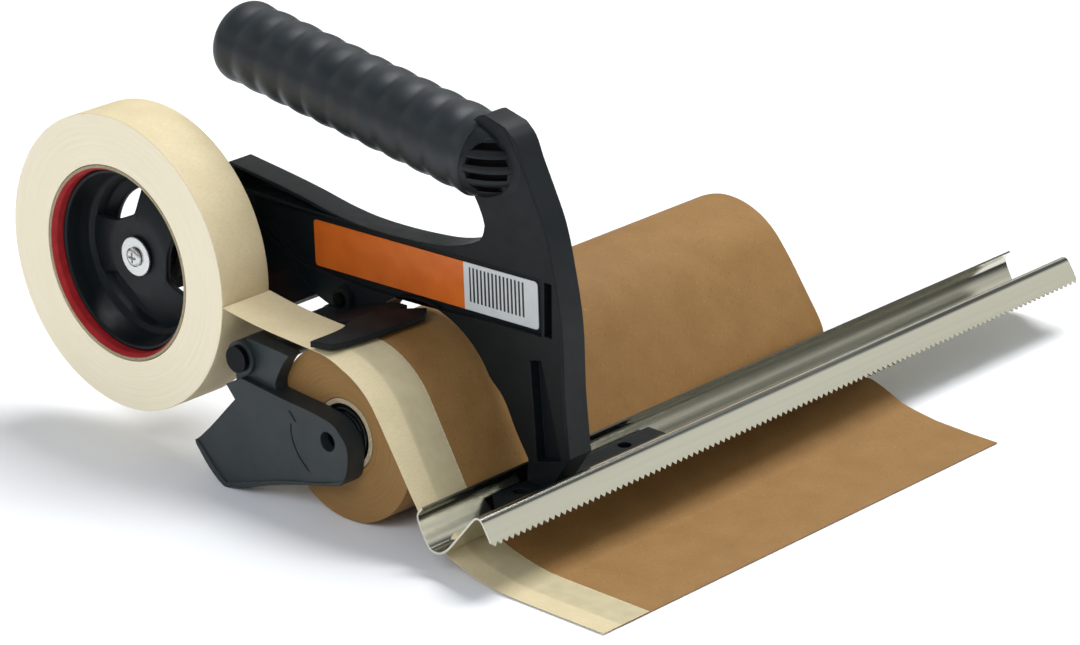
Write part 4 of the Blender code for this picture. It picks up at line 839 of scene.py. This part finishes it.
# %% The waved sleeve
GRIP_START, GRIP_END, END_DOME = 16.3, 136.5, 9.0
GRIP_RADIUS, WAVES, WAVE_HEIGHT = 16.55, 8.5, 0.95
BORE_RADIUS, BORE_END, SKIRT_RADIUS = 9.3, 127.3, 15.7
dome_from = GRIP_END - END_DOME
along = np.linspace(SLEEVE_END, dome_from, 280)
phase = np.pi * WAVES * (along - GRIP_START) / (dome_from - GRIP_START)
wave = WAVE_HEIGHT * (np.sqrt(np.sin(phase) ** 2 + 0.08) - 0.72)
body_line = pairs(GRIP_RADIUS + wave, along)
turn = np.linspace(0, np.pi / 2, 16)[1:]
dome = pairs(body_line[-1, 0] * np.cos(turn) ** 0.62, dome_from + END_DOME * np.sin(turn))
inner = [
    (0, BORE_END), (BORE_RADIUS, BORE_END), (BORE_RADIUS, GRIP_START), (SKIRT_RADIUS, GRIP_START),
    (SKIRT_RADIUS, SLEEVE_END - 0.3), (SKIRT_RADIUS + 0.3, SLEEVE_END - 0.2),
]
radius, reach = np.vstack([inner, body_line[2:], dome]).T[..., None]
grip = grid_part(round_grip(reach, radius, np.linspace(0, FULL_TURN, 121)))
make_piece("grip_sleeve_vinyl", [grip], "tool", grip_vinyl, ["grip_sleeve"])

# %% [markdown]
# ## The paper roll
# The roll's ends show their layers, with a slightly uneven face. The tube inside stands flush with them.

# %% Wind the paper
def roll_end(radii, face, sign):
    """Points of an end: small waves of about 0.1 mm, because the layers aren't quite flush."""
    return pairs(radii, face + sign * (0.07 * np.sin(radii * 3.1) + 0.05 * np.sin(radii * 7.7) + 0.12))


roll_radii = np.linspace(PAPER_CORE_RADIUS + GAP, PAPER_RADIUS - 0.15, 40)
near_end = roll_end(roll_radii, 0.0, 1)
far_end = roll_end(roll_radii, PAPER_WIDTH, -1)[::-1]
middle = pairs(PAPER_RADIUS, np.linspace(0.25, PAPER_WIDTH - 0.25, 30))
roll_profile = np.vstack([near_end, middle, far_end, near_end[:1]])
on_end = np.ones(len(roll_profile))
on_end[len(near_end) : len(near_end) + len(middle)] = 0
roll = turned_part(roll_profile, PAPER_AXIS, 180, on_end)
make_piece("paper_roll_wound", [roll], "paper", kraft_roll, ["paper_roll"])
tube = [(PAPER_CORE_BORE, 0), (PAPER_CORE_RADIUS, 0), (PAPER_CORE_RADIUS, PAPER_WIDTH), (PAPER_CORE_BORE, PAPER_WIDTH)]
paper_core = turned_part(closed_profile(tube, 0.3), PAPER_AXIS, 120)
make_piece("paper_core_board", [paper_core], "paper", plain_board, ["paper_core"])

# %% [markdown]
# ## The paper sheet
# The paper leaves the roll, dives under the blade and lies flat in front of it. Near the frame it is drawn tight. At
# its far edge it is slack, and stands off the roll. So the sheet is a blend of a tight and a slack curve.

# %% The two edge curves
SHEET_THICKNESS = 0.22
WRAP_START, WRAP_RISE = 115, 20


def wrap(end):
    """The sheet on the roll, down to a turn in degrees. It rises slowly to the gap, so that no step shows."""
    turn = np.linspace(WRAP_START, end, 60)
    return polar(PAPER_RADIUS + GAP * np.clip((WRAP_START - turn) / WRAP_RISE, 0.1, 1), np.radians(turn), PAPER_AXIS)


def in_stretches(line, marks, counts=(100, 40, 70)):
    """The line cut at its points nearest to the marks, each stretch with its own count of even steps."""
    cuts = [0] + [int(np.argmin(np.linalg.norm(line - mark, axis=1))) for mark in marks] + [len(line) - 1]
    parts = [evenly(line[start : end + 1], count)[:-1] for start, end, count in zip(cuts, cuts[1:], counts)]
    return np.vstack(parts + [line[-1:]])


tight_wrap, slack_wrap = wrap(31), wrap(40)
tight_fall = smooth_path(
    [tight_wrap[-1], (40.3, 39.2), (49.2, 24.2), (56.0, 14.2), (65.4, 7.6), (75, 3.9), (89.7, 0.9), (100, 0.25)], 10
)
slack_fall = smooth_path(
    [slack_wrap[-1], (33.2, 52.6), (38.6, 45.2), (43.8, 37.9), (48.5, 31.3), (51.4, 26.0), (52.2, 21.6), (53.1, 18.2),
     (56.4, 12.1), (59.6, 8.8), (65.0, 8.5), (71.0, 9.6), (77.9, 10.0), (86.5, 7.2), (95.4, 3.6), (112, 1.0)], 8
)
tight = np.vstack([tight_wrap[:-1], tight_fall, [(122, 0.2), (143.5, 0.2)]])
slack = np.vstack([slack_wrap[:-1], slack_fall, [(130, 0.3), (143.5, 0.2)]])
tight = in_stretches(tight, [(49.4, 22.4), (65.4, 7.6)])
slack = in_stretches(slack, [(52.2, 21.6), (65.0, 8.5)])
print("length of the sheet's near and far edge in mm:", [round(lengths_along(line)[-1]) for line in (tight, slack)])

# %% The sheet between them
SLACK_FROM_SHARE = 0.25


def sheet_face(lines, side, distance, floor, y):
    """One face of a thin sheet: its points moved sideways by a distance, but no lower than the floor."""
    flat = lines + side * distance
    flat[..., 1] = np.maximum(flat[..., 1], floor)
    return in_space(flat, y)


def sheet_parts(under, over, line=None, value=0.0):
    """A thin sheet: its two faces and the four narrow walls between them. The pattern runs along the line."""
    y = under[..., 1]
    pattern = None if line is None else pairs(lengths_along(line)[:, None], y)
    walls = [np.stack([under[row], over[row]]) for row in (0, -1)]
    walls += [np.stack([under[:, column], over[:, column]]) for column in (0, -1)]
    return [grid_part(under, pattern, value), grid_part(over, pattern, value)] + [grid_part(wall) for wall in walls]


across = np.linspace(0, 1, 90)
blend = np.clip((across - SLACK_FROM_SHARE) / (1 - SLACK_FROM_SHARE), 0, 1)[:, None] ** 1.6
middle_line = tight[:, None] * (1 - blend) + slack[:, None] * blend
lift = np.stack([side_of(middle_line[:, column]) for column in range(len(across))], axis=1)
thickness = SHEET_THICKNESS * np.clip(np.arange(len(tight)) / 12, 0.1, 1)[:, None]
under = sheet_face(middle_line, lift, 0.0, 0.0, across * PAPER_WIDTH)
over = sheet_face(middle_line, lift, thickness[..., None], thickness, across * PAPER_WIDTH)
make_piece("paper_sheet", sheet_parts(under, over, tight), "tool", kraft_sheet, ["paper_web"])

# %% [markdown]
# ## The tape strip
# The strip runs free from the tape roll to the top of the paper, and then lies half on the paper's edge and half
# beyond it. The half beyond is held by nothing, so it sags inwards round the bend. Where it lies on the paper it
# looks greyer, and a shade value says where.

# %% The strip and its sagging half
PEEL_DROP, STRIP_LIFT, STRIP_THICKNESS, STRIP_CLEAR = 3.0, 0.12, 0.18, 0.02
SAG_X = [-20, -2, 10, 30, 45, 60, 75, 95, 143.5]
SAG_DEPTH = [0, 0.4, 2.6, 3.6, 2.6, 1.2, 0.5, 0.1, 0]
peel = (TAPE_AXIS[0] + np.sqrt(TAPE_RADIUS**2 - PEEL_DROP**2) + GAP, TAPE_AXIS[1] - PEEL_DROP)
laid = tight + side_of(tight) * (SHEET_THICKNESS + STRIP_LIFT)
laid = laid[np.searchsorted(tight[:, 0], 0.0) :]
free = smooth_path([peel, (-44, 74.9), (-30, 73.6), (-15, 72.9), laid[0]], 10)
strip_line = evenly(np.vstack([free[:-1], laid]), 300)
strip_y = np.linspace(TAPE_NEAR, TAPE_FAR, 26)
drop = np.interp(strip_line[:, :1], SAG_X, SAG_DEPTH) * np.clip(strip_y / TAPE_NEAR, 0, 1) ** 1.5
normal = side_of(strip_line)[:, None]
strip_middle = strip_line[:, None] - normal * drop[..., None]
on_paper = np.clip((strip_line[:, :1] + 4) / 10, 0, 1) * np.clip(strip_y + 0.6, 0, 1)
under = sheet_face(strip_middle, normal, 0.0, STRIP_CLEAR, strip_y)
over = sheet_face(strip_middle, normal, STRIP_THICKNESS, STRIP_THICKNESS + STRIP_CLEAR, strip_y)
strip = sheet_parts(under, over, strip_line, on_paper)
make_piece("tape_strip_laid", strip, "tool", tape_laid, ["tape_strip"])

# %% [markdown]
# ## The blade
# The blade is one sheet, folded to a trough and a flange. The folds have a small inside radius, which draws a bright
# line along each of them. The teeth are in the same grid: the flange's last rows end on a zigzag.

# %% The folded sheet with its teeth
BLADE_NEAR, BLADE_LENGTH, BLADE_THICKNESS = -15.0, 367.0, 0.8
TOOTH_PITCH, TOOTH_DEPTH, TOOTH_ROOT = 3.2, 1.6, 3.2
fold = [
    (55.62, 26.62), (53.12, 23.72), (53.0, 21.6), (53.99, 19.0), (57.4, 12.79), (60.0, 9.8), (64.8, 9.6), (69.2, 12.6),
    (83.8, 30.3), (86.2, 30.3), (92.0, 21.1),
]
under_line = evenly(round_corners(fold, 2.2, 6, closed=False), 90)
over_line = under_line + side_of(under_line) * BLADE_THICKNESS
teeth = round(BLADE_LENGTH / TOOTH_PITCH)
half_tooth = np.arange(2 * teeth + 1)
blade_y = BLADE_NEAR + BLADE_LENGTH * half_tooth / (2 * teeth)
bite = np.where(half_tooth % 2, 0.0, TOOTH_DEPTH)
along = lengths_along(under_line)
reach_back = np.clip((along - along[-1] + TOOTH_ROOT) / TOOTH_ROOT, 0, 1)
back = unit(under_line[-8] - under_line[-1]) * (reach_back[:, None] * bite)[..., None]
under, over = (in_space(line[:, None] + back, blade_y) for line in (under_line, over_line))
make_piece("blade_folded", sheet_parts(under, over), "tool", stainless, ["blade"])

# %% [markdown]
# ## Floor, light and camera
# The floor is white paint near the object, where it takes the shadow. Far away it glows white, for the camera and for
# mirror images. The world has a bright band between dark ones, which the blade and the black plastic mirror. A large
# soft lamp from behind and above gives the long highlights, and a weak one fills the front. The camera stands where
# the photograph was taken from.

# %% Floor
FLOOR_HALF, FLOOR_LEVEL = 60.0, -0.0002
GLOW_FROM, GLOW_FULL = 0.45, 1.1
corners = [(x * FLOOR_HALF, y * FLOOR_HALF, FLOOR_LEVEL) for x, y in ((-1, -1), (1, -1), (1, 1), (-1, 1))]
floor_mesh = bpy.data.meshes.new("floor")
floor_mesh.from_pydata(corners, [], [(0, 1, 2, 3)])
floor = new_object("floor", floor_mesh)
floor_paint, shader, place = new_finish("white_floor")
tree = shader.id_data
fill(shader, {"Base Color": (0.93, 0.94, 0.95, 1), "Roughness": 0.9, "Specular IOR Level": 0.0})
away = add(tree, "VectorMath", {0: place}, operation="LENGTH").outputs["Value"]
path = add(tree, "LightPath").outputs
seen = calculated("MAXIMUM", path["Is Camera Ray"], path["Is Glossy Ray"])
seen = calculated("MAXIMUM", seen, path["Is Transmission Ray"])
glow = calculated("MULTIPLY", spread(away, GLOW_FROM, GLOW_FULL), seen)
white_light = add(tree, "Emission", {"Color": (1, 1, 1, 1), "Strength": 1.0})
surface = add(tree, "MixShader", {0: glow, 1: shader.outputs[0], 2: white_light.outputs[0]})
fill(tree.nodes["Material Output"], {"Surface": surface.outputs[0]})
floor_mesh.materials.append(floor_paint)
print("floor:", 2 * FLOOR_HALF, "m wide")

# %% World and lamps
BANDS = (
    (0.0, "#2E3236"), (0.20, "#3A3E42"), (0.29, "#F4F4EE"), (0.48, "#F6F6F2"), (0.60, "#44484C"), (0.95, "#80848A"),
)
LAMPS_LOOK_AT = Vector((0, 0, 0.05))
world = bpy.data.worlds.new("studio")
bpy.context.scene.world = world
world.use_nodes = True
tree = world.node_tree
height = add(tree, "SeparateXYZ", {0: add(tree, "TexCoord").outputs["Generated"]}).outputs["Z"]
band = add(tree, "ValToRGB", {"Fac": height})
while len(band.color_ramp.elements) < len(BANDS):
    band.color_ramp.elements.new(0.5)
for stop, (place, code) in zip(band.color_ramp.elements, BANDS):
    stop.position = place
    stop.color = colour(code)
fill(tree.nodes["Background"], {"Color": band.outputs["Color"], "Strength": 1.0})


def add_lamp(name, place, width, depth, power, code="#FFFFFF"):
    """A soft rectangular lamp that looks at the object. Its size and distance make its shadow soft."""
    lamp = bpy.data.lights.new(name, "AREA")
    lamp.shape = "RECTANGLE"
    lamp.size = width
    lamp.size_y = depth
    lamp.energy = power
    lamp.color = colour(code)[:3]
    holder = new_object(name, lamp)
    holder.location = place
    holder.rotation_euler = (LAMPS_LOOK_AT - Vector(place)).to_track_quat("-Z", "Y").to_euler()
    print(f"lamp {name}: {power} W, {width} by {depth} m")
    return holder


add_lamp("key", (0.08, 0.55, 1.75), 1.0, 1.0, 34)
add_lamp("front", (0.5, -1.7, 1.3), 1.2, 0.8, 16.5, "#EAF1FF").visible_glossy = False

# %% Camera
AZIMUTH, ELEVATION, ROLL = 0.7502, 0.3781, -0.0082
CAMERA_PLACE = (1.0991812, -1.2173337, 0.6794766)
FOCAL_PIXELS, PHOTO_PIXELS, SENSOR_WIDTH = 4226.2, 1080, 36.0
tilted = Matrix.Rotation(np.pi / 2 - ELEVATION, 4, "X") @ Matrix.Rotation(ROLL, 4, "Z")
lens = bpy.data.cameras.new("camera")
lens.sensor_width = SENSOR_WIDTH
lens.lens = FOCAL_PIXELS * SENSOR_WIDTH / PHOTO_PIXELS
camera = new_object("camera", lens)
camera.matrix_world = Matrix.Translation(CAMERA_PLACE) @ Matrix.Rotation(AZIMUTH, 4, "Z") @ tilted
bpy.context.scene.camera = camera
bpy.context.scene.view_settings.view_transform = "Standard"
print("camera:", [round(value, 3) for value in camera.location], "lens", round(lens.lens, 1))

# %% The end of the scene
print("scene set up")
